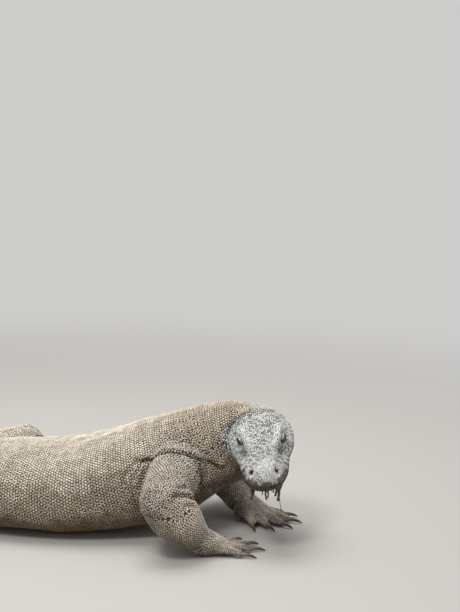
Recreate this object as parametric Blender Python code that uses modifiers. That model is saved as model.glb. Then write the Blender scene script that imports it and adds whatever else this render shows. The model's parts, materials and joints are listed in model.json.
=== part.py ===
"""A life-size Komodo dragon lying on its belly, its head turned to its right.

Metres, +Z up, head towards +X, the animal's left side towards +Y. The body is modelled as one
form out of lofts, flattened where it lies on the floor, and then parted with thin cuts into
the pieces that a person would name. Eyes and claws are pieces of their own.
"""

import math
from collections import namedtuple

import bmesh
import bpy
import numpy as np
from mathutils import Matrix, Vector
from mathutils.bvhtree import BVHTree

# Driving dimensions
HEAD_LENGTH = 0.190
JAW_HALF_WIDTH = 0.0675
HEAD_PITCH = math.radians(27)
HEAD_ROLL = math.radians(5)
HEAD_HEADING = math.radians(-87.8)
HEAD_AT = Vector((0.0655, 0.017, 0.2335))  # on the mouth line, between the jaw joints
TAIL_LENGTH = 1.30
TAIL_HEADING = math.radians(166)
TAIL_TURN = math.radians(52)
CUT = 0.0003  # width of the gap between neighbouring pieces
FLOOR_BITE = 0.004  # how far soft undersides are pressed flat
VOXEL = 0.0040
BODY_TRIANGLES = 4380
CLAW_LENGTH = 0.030
CLAW_RADIUS = 0.0052

# One cross-section of a loft: its middle, half its width, and its reach up and down.
Station = namedtuple("Station", "x y z half_width up down")

TRUNK = (
    Station(-0.735, 0.205, 0.058, 0.084, 0.080, 0.062),  # root of the tail
    Station(-0.655, 0.180, 0.066, 0.112, 0.096, 0.070),  # hips
    Station(-0.550, 0.150, 0.068, 0.144, 0.102, 0.072),  # loin
    Station(-0.420, 0.115, 0.071, 0.172, 0.106, 0.075),  # belly
    Station(-0.300, 0.090, 0.078, 0.170, 0.114, 0.080),  # ribs
    Station(-0.190, 0.074, 0.103, 0.148, 0.124, 0.090),  # shoulder blades
    Station(-0.115, 0.066, 0.138, 0.126, 0.116, 0.098),  # shoulders
    Station(-0.055, 0.060, 0.172, 0.100, 0.100, 0.093),  # root of the neck
    Station(-0.005, 0.056, 0.195, 0.081, 0.087, 0.092),  # neck
    Station(0.038, 0.046, 0.210, 0.070, 0.073, 0.082),  # nape
    Station(0.064, 0.022, 0.220, 0.062, 0.056, 0.066),  # back of the skull
    Station(0.070, -0.010, 0.208, 0.058, 0.044, 0.053),
)

# The head, from the jaw joints to the snout: share of its length, share of the jaw's half
# width, how wide the crown is against that, and its height above and below the mouth line.
Profile = namedtuple("Profile", "along width crown_width crown jaw")
SKULL = (
    Profile(-0.06, 0.86, 0.76, 0.040, 0.050),
    Profile(0.10, 0.98, 0.74, 0.042, 0.051),
    Profile(0.24, 0.99, 0.75, 0.042, 0.048),
    Profile(0.38, 0.92, 0.78, 0.041, 0.043),
    Profile(0.50, 0.82, 0.75, 0.038, 0.037),
    Profile(0.64, 0.74, 0.66, 0.031, 0.031),
    Profile(0.78, 0.68, 0.62, 0.026, 0.027),
    Profile(0.90, 0.57, 0.66, 0.022, 0.023),
    Profile(0.97, 0.41, 0.75, 0.016, 0.018),
    Profile(1.00, 0.20, 1.00, 0.008, 0.009),
)
BROW = ((0.042, 0.0415, 0.0355), (0.069, 0.0390, 0.0365), (0.095, 0.0265, 0.0330))  # along, out, up
BROW_RADII = (0.0085, 0.0105, 0.0070)
NOSTRIL_AT = (0.162, 0.0215, 0.0140)
NOSTRIL_RADIUS = 0.0105
EYE_AT = (0.070, 0.0380, 0.0255)
EYE_RADIUS = 0.0115

# The limbs. A hand's or foot's heading is its middle toe's, anticlockwise from +X.
Limb = namedtuple("Limb", "root joint ankle heading reach side")
LIMBS = {
    "fore_right": Limb(
        (-0.105, -0.026, 0.165), (-0.134, -0.166, 0.118), (-0.068, -0.141, 0.034), 27, 1.0, -1
    ),
    "fore_left": Limb(
        (-0.112, 0.150, 0.160), (-0.022, 0.232, 0.105), (0.028, 0.128, 0.032), -40, 1.0, 1
    ),
    "hind_right": Limb(
        (-0.672, 0.096, 0.098), (-0.610, -0.056, 0.116), (-0.700, -0.124, 0.034), -38, 1.15, -1
    ),
    "hind_left": Limb(
        (-0.620, 0.250, 0.095), (-0.498, 0.378, 0.107), (-0.596, 0.440, 0.034), 52, 1.15, 1
    ),
}
SEGMENTS = {"fore": ("upper_arm", "forearm", "hand"), "hind": ("thigh", "shin", "foot")}
# How each limb is parted: the share of its upper part where it leaves the trunk, the normal
# and radius of the blade there, and the radius of the blade through its elbow or knee.
ROOT_CUTS = {
    "fore_right": (0.32, (0.200, -0.974, -0.05), 0.082, 0.082),
    "fore_left": (0.37, (0.476, 0.88, 0), 0.080, 0.075),
    "hind_right": (0.52, (-0.24, -0.97, 0), 0.084, 0.080),
    "hind_left": (0.46, (0.10, 0.995, 0), 0.088, 0.080),
}
JOINT_INSET = 0.062  # a joint's blade is centred this much less than its radius inside the bend
ANKLE_CUT = {"fore": 0.84, "hind": 0.72}  # share of the way down the lower part
ANKLE_BLADE = 0.055
# The middle, normal and radius of each blade across the neck and trunk.
BODY_CUTS = {
    "head": ((0.072, 0.017, 0.212), (0.588, -0.809, 0.0), 0.109),
    "neck": ((-0.028, 0.054, 0.180), (0.985, -0.050, 0.16), 0.114),
    "trunk": ((-0.360, 0.102, 0.090), (0.970, -0.240, 0.0), 0.225),
}
TAIL_CUTS = {"tail_root": 0.0, "tail_middle": 0.30, "tail_tip": 0.62}  # share of its length
MOUTH_UP = -0.004
SHAVING = 12  # a piece with no more points than this is a shaving between two blades
# Within this reach of the head and of each wrist, triangles thin out by this weight, not by 1.
HEAD_FINE = (0.115, 0.60)
HAND_FINE = (0.085, 0.80)
CLAW_RISE = 0.002
CLAW_TIP = 0.0022
CLAW_BEND = 1.25  # radians of a claw's curve
CLAW_OVERLAP = 0.004  # how far back from a toe's end its claw starts
MATERIALS = {
    "eye": ((0.03, 0.02, 0.015), 0.08),
    "claw": ((0.05, 0.045, 0.04), 0.35),
    "hide": ((0.36, 0.33, 0.28), 0.75),
}
# Radii at the root, above the joint, below it, and at the wrist or ankle.
ARM_RADII = (0.056, 0.052, 0.053, 0.031)
LEG_RADII = (0.066, 0.053, 0.045, 0.028)
TOE_SPREAD = (40, 20, 2, -16, -40)  # degrees from the middle toe, from the inner toe outwards
FINGER_LENGTHS = (0.054, 0.074, 0.084, 0.080, 0.056)
TOE_LENGTHS = (0.040, 0.060, 0.076, 0.086, 0.056)
TOE_RADII = (0.0125, 0.0105, 0.0082)
TOE_HEIGHTS = (0.0150, 0.0145, 0.0070)  # of a toe's middle at the palm, the knuckle and the claw
TOE_PITCH = 0.0118  # between the roots of neighbouring toes
PALM_REACH = 0.036  # from the ankle to the roots of the toes
TOE_TRIM = (0.014, 0.022, 0.040)  # the block that squares off a toe's end


def clear_scene():
    for obj in list(bpy.data.objects):
        bpy.data.objects.remove(obj, do_unlink=True)


def collection(name):
    made = bpy.data.collections.new(name)
    bpy.context.scene.collection.children.link(made)
    return made


def material(name, colour, roughness):
    made = bpy.data.materials.new(name)
    made.use_nodes = True
    shader = made.node_tree.nodes["Principled BSDF"]
    shader.inputs["Base Color"].default_value = (*colour, 1.0)
    shader.inputs["Roughness"].default_value = roughness
    shader.inputs["Metallic"].default_value = 0.0
    return made


def add_object(name, mesh, where):
    made = bpy.data.objects.new(name, mesh)
    where.objects.link(made)
    return made


def evaluated_mesh(obj):
    """The object's mesh with its modifiers in it; the object itself is removed."""
    bpy.context.view_layer.update()
    graph = bpy.context.evaluated_depsgraph_get()
    mesh = bpy.data.meshes.new_from_object(obj.evaluated_get(graph))
    bpy.data.objects.remove(obj, do_unlink=True)
    return mesh


def smooth_rows(rows, per_span):
    """Rows of numbers, with a Catmull-Rom curve's rows put in between them."""
    rows = np.array(rows, float)
    padded = np.vstack([2 * rows[0] - rows[1], rows, 2 * rows[-1] - rows[-2]])
    out = []
    for i in range(len(rows) - 1):
        a, b, c, d = padded[i : i + 4]
        for t in np.arange(per_span) / per_span:
            square, cube = 2 * a - 5 * b + 4 * c - d, 3 * b - 3 * c + d - a
            out.append(b + 0.5 * ((c - a) * t + square * t**2 + cube * t**3))
    out.append(rows[-1])
    return np.array(out)


def loft(bm, centres, ups, half_widths, tops, bottoms, fullness=2.3, sides=28, crowns=None):
    """Adds a closed tube of rounded sections, each square to the path, to bm."""
    tangents = np.gradient(centres, axis=0)
    crowns = np.ones(len(centres)) if crowns is None else crowns
    rings = []
    for centre, tangent, up, half, top, bottom, crown in zip(
        centres, tangents, ups, half_widths, tops, bottoms, crowns
    ):
        tangent = Vector(tangent).normalized()
        side = tangent.cross(Vector(up)).normalized()
        up = side.cross(tangent)
        ring = []
        for k in range(sides):
            angle = 2 * math.pi * k / sides
            across = math.copysign(abs(math.cos(angle)) ** (2 / fullness), math.cos(angle))
            along = math.copysign(abs(math.sin(angle)) ** (2 / fullness), math.sin(angle))
            reach = top if along > 0 else bottom
            across *= 1 - (1 - crown) * max(0, along)
            ring.append(bm.verts.new(Vector(centre) + side * half * across + up * reach * along))
        rings.append(ring)
    for near, far in zip(rings, rings[1:]):
        for k in range(sides):
            bm.faces.new((near[k], near[k - 1], far[k - 1], far[k]))
    bm.faces.new(rings[0])
    bm.faces.new(rings[-1][::-1])


def tube(bm, points, radii, lifts=None, per_span=4, sides=20):
    """A tube through a few points, round or with half heights of its own."""
    lifts = radii if lifts is None else lifts
    rows = smooth_rows([(*p, r, h) for p, r, h in zip(points, radii, lifts)], per_span)
    ups = np.tile((0.0, 0.0, 1.0), (len(rows), 1))
    loft(bm, rows[:, :3], ups, rows[:, 3], rows[:, 4], rows[:, 4], fullness=2.0, sides=sides)


def trunk_and_neck(bm):
    rows = smooth_rows(TRUNK, 5)
    ups = np.tile((0.0, 0.0, 1.0), (len(rows), 1))
    loft(bm, rows[:, :3], ups, rows[:, 3], rows[:, 4], rows[:, 5])


def tail_point(share):
    """Where the tail's middle lies, its heading, and its half width and half height there."""
    steps = max(2, int(share * 60))
    at = np.array((TRUNK[0].x, TRUNK[0].y))
    reach = share * TAIL_LENGTH / steps
    for k in range(steps):
        heading = TAIL_HEADING + TAIL_TURN * ((k + 0.5) / steps * share) ** 1.3
        at = at + reach * np.array((math.cos(heading), math.sin(heading)))
    heading = TAIL_HEADING + TAIL_TURN * share**1.3
    slim = (1 - share) ** 0.95
    half_width = 0.086 * slim * (1 - 0.34 * math.sin(math.pi * share**0.6)) + 0.004
    half_height = 0.075 * slim * (1 - 0.10 * math.sin(math.pi * share**0.6)) + 0.004
    return at, heading, half_width, half_height


def tail(bm):
    centres, halves, heights = [], [], []
    for share in np.linspace(0, 1, 36) ** 0.9:
        at, _, half_width, half_height = tail_point(share)
        centres.append((*at, half_height - FLOOR_BITE * min(1, half_height / 0.02)))
        halves.append(half_width)
        heights.append(half_height)
    ups = np.tile((0.0, 0.0, 1.0), (len(centres), 1))
    loft(bm, np.array(centres), ups, halves, heights, heights, fullness=2.1)


def head_axes():
    """The head's forward, left and up directions."""
    forward = Vector(
        (
            math.cos(HEAD_PITCH) * math.cos(HEAD_HEADING),
            math.cos(HEAD_PITCH) * math.sin(HEAD_HEADING),
            -math.sin(HEAD_PITCH),
        )
    )
    left = Vector((0, 0, 1)).cross(forward).normalized()
    up = forward.cross(left)
    roll = Matrix.Rotation(HEAD_ROLL, 3, forward)
    return forward, roll @ left, roll @ up


def on_head(along, left, up):
    """A point of the head, by metres ahead of the jaw joints, to its left, and upwards."""
    axes = head_axes()
    return HEAD_AT + axes[0] * along + axes[1] * left + axes[2] * up


def head(bm):
    rows = smooth_rows(SKULL, 5)
    centres = [on_head(row[0] * HEAD_LENGTH, 0, 0) for row in rows]
    ups = np.tile(head_axes()[2], (len(rows), 1))
    halves = rows[:, 1] * JAW_HALF_WIDTH
    loft(bm, np.array(centres), ups, halves, rows[:, 3], rows[:, 4], 2.5, crowns=rows[:, 2])
    for side in (-1, 1):
        brow = [on_head(along, side * out, up) for along, out, up in BROW]
        tube(bm, brow, BROW_RADII, sides=12)
        along, out, up = NOSTRIL_AT
        there = Matrix.Translation(on_head(along, side * out, up))
        bmesh.ops.create_uvsphere(bm, u_segments=14, v_segments=8, radius=NOSTRIL_RADIUS, matrix=there)


def level(degrees):
    """The level direction at an angle anticlockwise from +X."""
    angle = math.radians(degrees)
    return Vector((math.cos(angle), math.sin(angle), 0))


def toe_line(limb, k, lengths):
    """Points along a toe, from inside the palm to just past the root of its claw."""
    ahead = level(limb.heading - limb.side * TOE_SPREAD[k])
    across = level(limb.heading + 90)
    palm = Vector(limb.ankle) + PALM_REACH * limb.reach * level(limb.heading)
    start = palm + across * limb.side * (k - 2) * TOE_PITCH * limb.reach
    knuckle = start + ahead * lengths[k] * 0.45
    tip = start + ahead * lengths[k]
    start.z, knuckle.z, tip.z = TOE_HEIGHTS
    return start, knuckle, tip, ahead


def toe_lengths(name):
    return FINGER_LENGTHS if name.startswith("fore") else TOE_LENGTHS


def limb(bm, name):
    this = LIMBS[name]
    radii = ARM_RADII if name.startswith("fore") else LEG_RADII
    root, joint, ankle = (Vector(p) for p in (this.root, this.joint, this.ankle))
    above = root.lerp(joint, 0.62)
    tube(bm, (root, above, joint), (radii[0], radii[1], radii[1] * 0.92), sides=24)
    below = joint.lerp(ankle, 0.36)
    tube(bm, (joint, below, ankle), (radii[1] * 0.92, radii[2], radii[3]), sides=24)
    there = Matrix.Translation(joint)
    bmesh.ops.create_uvsphere(bm, u_segments=20, v_segments=12, radius=radii[1] * 0.93, matrix=there)
    ahead = level(this.heading)
    instep = ankle + ahead * 0.024 * this.reach
    instep.z = 0.024
    palm = ankle + ahead * 0.058 * this.reach
    palm.z = 0.015
    tube(bm, (ankle, instep, palm), (radii[3], 0.034, 0.034), (radii[3], 0.027, 0.0175))
    for k in range(5):
        start, knuckle, tip, _ = toe_line(this, k, toe_lengths(name))
        tube(bm, (start, knuckle, tip), TOE_RADII, sides=12)


def whole_body(where):
    """The flesh as one even mesh, with its undersides not yet flat."""
    bm = bmesh.new()
    trunk_and_neck(bm)
    tail(bm)
    head(bm)
    for name in LIMBS:
        limb(bm, name)
    bmesh.ops.recalc_face_normals(bm, faces=bm.faces)
    mesh = bpy.data.meshes.new("lofts")
    bm.to_mesh(mesh)
    bm.free()
    obj = add_object("lofts", mesh, where)
    remesh = obj.modifiers.new("even", "REMESH")
    remesh.mode = "VOXEL"
    remesh.voxel_size = VOXEL
    remesh.adaptivity = 0
    smooth = obj.modifiers.new("relax", "SMOOTH")
    smooth.iterations = 6
    smooth.factor = 0.5
    return evaluated_mesh(obj)


def decimated(mesh, where):
    """The body with fewer triangles, which are spent on the head, hands and feet first."""
    obj = add_object("decimated", mesh, where)
    coarse = obj.vertex_groups.new(name="coarse")
    spots = [on_head(0.10, 0, 0)] + [Vector(this.ankle) for this in LIMBS.values()]
    reaches = [HEAD_FINE] + [HAND_FINE] * len(LIMBS)
    for vertex in mesh.vertices:
        weight = 1.0
        for spot, (reach, least) in zip(spots, reaches):
            if (vertex.co - spot).length < reach:
                weight = least
        coarse.add([vertex.index], weight, "REPLACE")
    thin = obj.modifiers.new("thin", "DECIMATE")
    thin.ratio = BODY_TRIANGLES / (2 * len(mesh.vertices))
    thin.vertex_group = coarse.name
    thin.vertex_group_factor = 1.0
    thin.use_collapse_triangulate = True
    return evaluated_mesh(obj)


def box(name, centre, ahead, size, where):
    """A box with its X side along a direction in the floor's plane."""
    bm = bmesh.new()
    turn = Matrix.Rotation(math.atan2(ahead[1], ahead[0]), 4, "Z")
    place = Matrix.Translation(centre) @ turn @ Matrix.Diagonal((*size, 1))
    bmesh.ops.create_cube(bm, size=1, matrix=place)
    return cutter(name, bm, where)


def disc(name, centre, normal, radius, where):
    """A round blade as thick as a cut."""
    bm = bmesh.new()
    place = Matrix.Translation(centre) @ Vector(normal).to_track_quat("Z", "Y").to_matrix().to_4x4()
    bmesh.ops.create_cone(
        bm, cap_ends=True, segments=24, radius1=radius, radius2=radius, depth=CUT, matrix=place
    )
    return cutter(name, bm, where)


def cutter(name, bm, where):
    mesh = bpy.data.meshes.new(name)
    bm.to_mesh(mesh)
    bm.free()
    made = add_object(name, mesh, where)
    made.hide_render = True
    made.display_type = "WIRE"
    return made


def blades(where):
    """The thin cuts between the trunk, the neck, the tail's lengths and the limbs' parts."""
    for name, (centre, normal, radius) in BODY_CUTS.items():
        disc(f"cut_{name}", centre, normal, radius, where)
    for name, share in TAIL_CUTS.items():
        at, heading, half_width, half_height = tail_point(share)
        normal = (math.cos(heading), math.sin(heading), 0)
        disc(f"cut_{name}", (*at, half_height), normal, 0.03 + max(half_width, half_height), where)
    for name, (share, normal, radius, joint_radius) in ROOT_CUTS.items():
        this = LIMBS[name]
        root, joint, ankle = (Vector(p) for p in (this.root, this.joint, this.ankle))
        disc(f"cut_{name}_root", root.lerp(joint, share), normal, radius, where)
        upper, lower = (joint - root).normalized(), (ankle - joint).normalized()
        inside = joint + (lower - upper).normalized() * (joint_radius - JOINT_INSET)
        disc(f"cut_{name}_joint", inside, upper + lower, joint_radius, where)
        above = joint.lerp(ankle, ANKLE_CUT[name.split("_")[0]])
        disc(f"cut_{name}_ankle", above, lower, ANKLE_BLADE, where)


def claw_roots(name):
    """For each toe of a limb: where its claw starts, and which way it points."""
    roots = []
    for k in range(5):
        _, _, tip, ahead = toe_line(LIMBS[name], k, toe_lengths(name))
        roots.append((tip - ahead * CLAW_OVERLAP, ahead))
    return roots


def trim_toes(where):
    """Blocks that take off each toe's round end, square to its claw."""
    for name in LIMBS:
        for k, (root, ahead) in enumerate(claw_roots(name)):
            box(f"trim_{name}_{k}", root + ahead * TOE_TRIM[0] / 2, ahead, TOE_TRIM, where)


def cut(obj, cutters):
    """The object's mesh less everything in a collection of cutters."""
    carve = obj.modifiers.new("cuts", "BOOLEAN")
    carve.operation = "DIFFERENCE"
    carve.solver = "EXACT"
    carve.operand_type = "COLLECTION"
    carve.collection = cutters
    return evaluated_mesh(obj)


def islands(mesh):
    """The separate bodies of a mesh, each as a mesh of its own; bodies that only share an edge are apart."""
    bm = bmesh.new()
    bm.from_mesh(mesh)
    left = set(bm.faces)
    meshes = []
    while left:
        group, edge = [], [left.pop()]
        while edge:
            face = edge.pop()
            group.append(face)
            sides = [side.link_faces for side in face.edges if len(side.link_faces) == 2]
            near = {other for pair in sides for other in pair} & left
            left -= near
            edge += near
        piece = bmesh.new()
        corners = {vertex for face in group for vertex in face.verts}
        same = {vertex: piece.verts.new(vertex.co) for vertex in sorted(corners, key=lambda v: v.index)}
        for face in group:
            piece.faces.new([same[vertex] for vertex in face.verts])
        made = bpy.data.meshes.new("piece")
        piece.to_mesh(made)
        piece.free()
        meshes.append(made)
    bm.free()
    return meshes


def flesh_marks():
    """A point inside each piece of flesh, by its name."""
    marks = {
        "head": on_head(0.05, 0, 0.02),
        "neck": Vector((0.0, 0.057, 0.19)),
        "trunk_front": Vector((-0.25, 0.08, 0.09)),
        "trunk_rear": Vector((-0.50, 0.14, 0.07)),
    }
    for name, share in (("tail_base", 0.15), ("tail_middle", 0.45), ("tail_tip", 0.80)):
        at, _, _, half_height = tail_point(share)
        marks[name] = Vector((*at, half_height))
    for name, this in LIMBS.items():
        root, joint, ankle = (Vector(p) for p in (this.root, this.joint, this.ankle))
        upper, lower, end = SEGMENTS[name.split("_")[0]]
        marks[f"{name}_{upper}"] = root.lerp(joint, 0.7)
        marks[f"{name}_{lower}"] = joint.lerp(ankle, 0.6)
        marks[f"{name}_{end}"] = ankle + level(this.heading) * 0.035 - Vector((0, 0, 0.012))
    return marks


def holds(mesh, point):
    """Whether a closed mesh holds a point."""
    bm = bmesh.new()
    bm.from_mesh(mesh)
    tree = BVHTree.FromBMesh(bm)
    bm.free()
    direction = Vector((0.13, 0.27, 0.95)).normalized()
    crossings = 0
    at = point
    while at is not None:
        at, _, _, _ = tree.ray_cast(at, direction)
        if at is not None:
            crossings += 1
            at = at + direction * 1e-6
    return crossings % 2 == 1


def flesh(mesh, pieces, cutters):
    """Parts the body's mesh into named objects."""
    obj = add_object("body", mesh, pieces)
    blades(cutters)
    trim_toes(cutters)
    box("floor", (-0.9, 0.1, -0.05), (1, 0, 0), (4, 3, 0.1), cutters)
    parts = [part for part in islands(cut(obj, cutters)) if len(part.vertices) > SHAVING]
    marks = flesh_marks()
    for name, mark in marks.items():
        held = [part for part in parts if holds(part, mark)]
        if len(held) != 1:
            raise ValueError(f"{name} has {len(held)} pieces at {mark}")
        parts.remove(held[0])
        held[0].name = name
        add_object(name, held[0], pieces)
    if parts:
        raise ValueError(f"{len(parts)} pieces of flesh have no name")


def ball(radius, place):
    bm = bmesh.new()
    bmesh.ops.create_uvsphere(bm, u_segments=12, v_segments=7, radius=radius, matrix=place)
    return bm


def head_details(pieces, sockets):
    """Parts the jaw from the head, and sets an eye in each socket."""
    bm = bmesh.new()
    forward, left, up = head_axes()
    turn = Matrix((forward, left, up)).transposed().to_4x4()
    middle = on_head(0.10, 0, MOUTH_UP)
    place = Matrix.Translation(middle) @ turn @ Matrix.Diagonal((0.40, 0.20, CUT, 1))
    bmesh.ops.create_cube(bm, size=1, matrix=place)
    cutter("cut_mouth", bm, sockets)
    for side, word in ((-1, "right"), (1, "left")):
        along, out, above = EYE_AT
        there = Matrix.Translation(on_head(along, side * out, above)) @ turn
        cutter(f"socket_{word}", ball(EYE_RADIUS + 2 * CUT, there), sockets)
        bm = ball(EYE_RADIUS, there)
        mesh = bpy.data.meshes.new(f"eye_{word}")
        bm.to_mesh(mesh)
        bm.free()
        add_object(f"eye_{word}", mesh, pieces)
    whole = bpy.data.objects["head"]
    parts = sorted(islands(cut(whole, sockets)), key=lambda part: -max(v.co.z for v in part.vertices))
    for name, part in zip(("head", "lower_jaw"), parts, strict=True):
        part.name = name
        add_object(name, part, pieces)


def claws(pieces):
    """A curved claw on every toe, clear of the flesh by a cut and of the floor."""
    for name in LIMBS:
        for k, (root, ahead) in enumerate(claw_roots(name)):
            bm = bmesh.new()
            start = root + ahead * CUT
            rows = []
            for share in np.linspace(0, 1, 6):
                reach = CLAW_LENGTH * math.sin(share * CLAW_BEND) / math.sin(CLAW_BEND)
                height = CLAW_RISE * math.sin(math.pi * min(1, share * 1.15)) + CLAW_TIP * share
                middle = start + ahead * reach
                thick = CLAW_RADIUS * (1 - share) ** 0.8 + 0.0009
                rows.append((*middle.to_2d(), start.z * (1 - share) + height, thick))
            rows = np.array(rows)
            ups = np.tile((0.0, 0.0, 1.0), (len(rows), 1))
            loft(bm, rows[:, :3], ups, rows[:, 3] * 0.8, rows[:, 3], rows[:, 3], 2.0, sides=6)
            bmesh.ops.recalc_face_normals(bm, faces=bm.faces)
            mesh = bpy.data.meshes.new(f"claw_{name}_{k + 1}")
            bm.to_mesh(mesh)
            bm.free()
            add_object(mesh.name, mesh, pieces)


def dress(pieces):
    """Gives every piece its material."""
    looks = {key: material(key, colour, rough) for key, (colour, rough) in MATERIALS.items()}
    for obj in pieces.objects:
        key = next((key for key in MATERIALS if obj.name.startswith(key)), "hide")
        obj.data.materials.clear()
        obj.data.materials.append(looks[key])


def centre_on_floor(pieces):
    """Moves the whole model so that the middle of its bounds stands on the origin."""
    corners = [vertex.co for obj in pieces.objects for vertex in obj.data.vertices]
    middle = [(min(c[i] for c in corners) + max(c[i] for c in corners)) / 2 for i in (0, 1)]
    for obj in pieces.objects:
        obj.data.transform(Matrix.Translation((-middle[0], -middle[1], 0)))


def main():
    clear_scene()
    pieces = collection("komodo_dragon")
    cutters = collection("cutters")
    sockets = collection("head_cutters")
    mesh = decimated(whole_body(pieces), pieces)
    flesh(mesh, pieces, cutters)
    head_details(pieces, sockets)
    claws(pieces)
    centre_on_floor(pieces)
    dress(pieces)
    for group in (cutters, sockets):
        group.hide_render = True


if __name__ == "__main__":
    main()
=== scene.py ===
"""A life-size Komodo dragon in its hide: one folded skin, its scales, lids, eyes, claws and drool.

Metres, +Z up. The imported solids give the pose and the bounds; every piece here is built round them
and rides on the root body.
"""

import json
import logging
import math
from collections.abc import Iterator
from contextlib import contextmanager
from dataclasses import dataclass, field
from enum import Enum
from itertools import product

import bmesh
import bpy
import numpy as np
from mathutils import Matrix, Vector
from mathutils.bvhtree import BVHTree
from mathutils.kdtree import KDTree

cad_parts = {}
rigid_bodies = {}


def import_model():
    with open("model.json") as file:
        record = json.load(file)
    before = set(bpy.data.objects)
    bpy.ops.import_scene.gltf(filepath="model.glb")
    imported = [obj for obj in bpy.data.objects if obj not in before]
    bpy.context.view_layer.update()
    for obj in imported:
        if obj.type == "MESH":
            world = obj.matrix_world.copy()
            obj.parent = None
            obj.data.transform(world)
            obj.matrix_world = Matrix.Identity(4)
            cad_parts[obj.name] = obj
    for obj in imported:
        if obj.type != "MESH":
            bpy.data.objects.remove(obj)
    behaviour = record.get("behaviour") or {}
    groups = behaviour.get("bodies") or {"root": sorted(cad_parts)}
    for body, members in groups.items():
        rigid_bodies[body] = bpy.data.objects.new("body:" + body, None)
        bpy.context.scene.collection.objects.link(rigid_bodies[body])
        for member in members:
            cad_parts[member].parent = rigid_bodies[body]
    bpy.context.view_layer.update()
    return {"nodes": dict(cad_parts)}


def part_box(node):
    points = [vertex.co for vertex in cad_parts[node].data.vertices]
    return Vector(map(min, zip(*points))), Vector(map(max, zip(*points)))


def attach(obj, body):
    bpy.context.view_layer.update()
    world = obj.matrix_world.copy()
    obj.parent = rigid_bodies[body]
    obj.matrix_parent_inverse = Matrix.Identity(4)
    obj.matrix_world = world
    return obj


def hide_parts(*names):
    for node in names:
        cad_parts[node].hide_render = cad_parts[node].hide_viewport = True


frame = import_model()
LOG = logging.getLogger("komodo_dragon")

Array = np.ndarray
Place = tuple[float, float, float]
Colour = tuple[float, float, float, float]
Mesh = bpy.types.Mesh
Object = bpy.types.Object
Material = bpy.types.Material
Node = bpy.types.Node
Socket = bpy.types.NodeSocket

ROOT_BODY = "root"
SEED = 2026
SIDES = (-1, 1)  # the animal's right and its left
UP = np.array((0.0, 0.0, 1.0))
FLOOR_GAP = 0.0002  # nothing of the hide reaches nearer to the floor than this
BEAD_SIDES = 7
BEAD_FACES = 4 * BEAD_SIDES
PIECE_FACES = 196_000
PATCH = 0.003  # width of one scale's patch on its piece's unwrap

# The body's plan, in the maker's own frame: the head's hinge of the jaws is near its origin.
HEAD_PITCH = math.radians(27)
HEAD_ROLL = math.radians(5)
HEAD_HEADING = math.radians(-87.8)
HEAD_AT = (0.0655, 0.017, 0.2335)
EYE = (0.070, 0.0380, 0.0255)
TAIL_LENGTH = 1.30
TAIL_HEADING = math.radians(166)
TAIL_TURN = math.radians(52)

# x, y, z, half width, reach up and reach down of the trunk, from the tail's root to the skull.
TRUNK = (
    (-0.735, 0.205, 0.058, 0.084, 0.080, 0.062),
    (-0.655, 0.180, 0.066, 0.112, 0.096, 0.070),
    (-0.550, 0.150, 0.068, 0.144, 0.102, 0.072),
    (-0.420, 0.115, 0.071, 0.172, 0.106, 0.075),
    (-0.300, 0.090, 0.078, 0.170, 0.114, 0.080),
    (-0.190, 0.074, 0.103, 0.148, 0.124, 0.090),
    (-0.115, 0.066, 0.138, 0.126, 0.116, 0.098),
    (-0.055, 0.060, 0.172, 0.100, 0.100, 0.093),
    (-0.005, 0.056, 0.195, 0.081, 0.087, 0.092),
    (0.038, 0.046, 0.210, 0.070, 0.073, 0.082),
    (0.064, 0.022, 0.220, 0.062, 0.056, 0.066),
)
# Metres ahead of the jaw joints, half width, and height above and below the mouth line.
SKULL = (
    (-0.011, 0.058, 0.040, 0.050),
    (0.046, 0.068, 0.042, 0.048),
    (0.095, 0.056, 0.037, 0.037),
    (0.122, 0.050, 0.031, 0.031),
    (0.148, 0.046, 0.026, 0.027),
    (0.190, 0.022, 0.014, 0.016),
)
# Places on the head: metres ahead of the jaw joints, to the left, and up.
LIP_LINE = -0.004  # height of the closed mouth
NOSTRIL = (0.163, 0.0255, 0.0180)
LEFT_LIP = (0.136, 0.046, -0.004)  # the left lips are the fuller ones
EAR = (-0.004, 0.060, 0.002)
EAR_REACH = (0.0062, 0.03, 0.0105)
BROW = (
    (0.040, 0.0460, 0.0300),
    (0.053, 0.0455, 0.0360),
    (0.074, 0.0410, 0.0400),
    (0.098, 0.0285, 0.0350),
)


@dataclass(frozen=True)
class LimbPlan:
    """A limb's joints, the way its hand or foot points, its side, reach, radii and toes."""

    root: Place
    joint: Place
    ankle: Place
    heading: float
    side: int
    reach: float = 1.0
    radii: tuple[float, float, float, float] = (0.056, 0.052, 0.053, 0.031)
    toes: tuple[float, ...] = (0.054, 0.074, 0.084, 0.080, 0.056)


LEG = (1.15, (0.066, 0.053, 0.045, 0.028), (0.040, 0.060, 0.076, 0.086, 0.056))
TOE_SPREAD = (40, 20, 2, -16, -40)
LIMBS = {
    "fore_right": LimbPlan(
        (-0.105, -0.026, 0.165), (-0.134, -0.166, 0.118), (-0.068, -0.141, 0.034), 27, -1
    ),
    "fore_left": LimbPlan(
        (-0.112, 0.150, 0.160), (-0.022, 0.232, 0.105), (0.028, 0.128, 0.032), -40, 1
    ),
    "hind_right": LimbPlan(
        (-0.672, 0.096, 0.098), (-0.610, -0.056, 0.116), (-0.700, -0.124, 0.034), -38, -1, *LEG
    ),
    "hind_left": LimbPlan(
        (-0.620, 0.250, 0.095), (-0.498, 0.378, 0.107), (-0.596, 0.440, 0.034), 52, 1, *LEG
    ),
}


# -------------------- small mathematics


def bell(distance: Array, width: float) -> Array:
    """A smooth hump, 1 at no distance and near 0 past two widths."""
    return np.exp(-((distance / width) ** 2))


def ramp(value: Array, low: float, high: float) -> Array:
    """A smooth step from 0 at low to 1 at high."""
    share = np.clip((value - low) / (high - low), 0.0, 1.0)
    return share * share * (3 - 2 * share)


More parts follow.
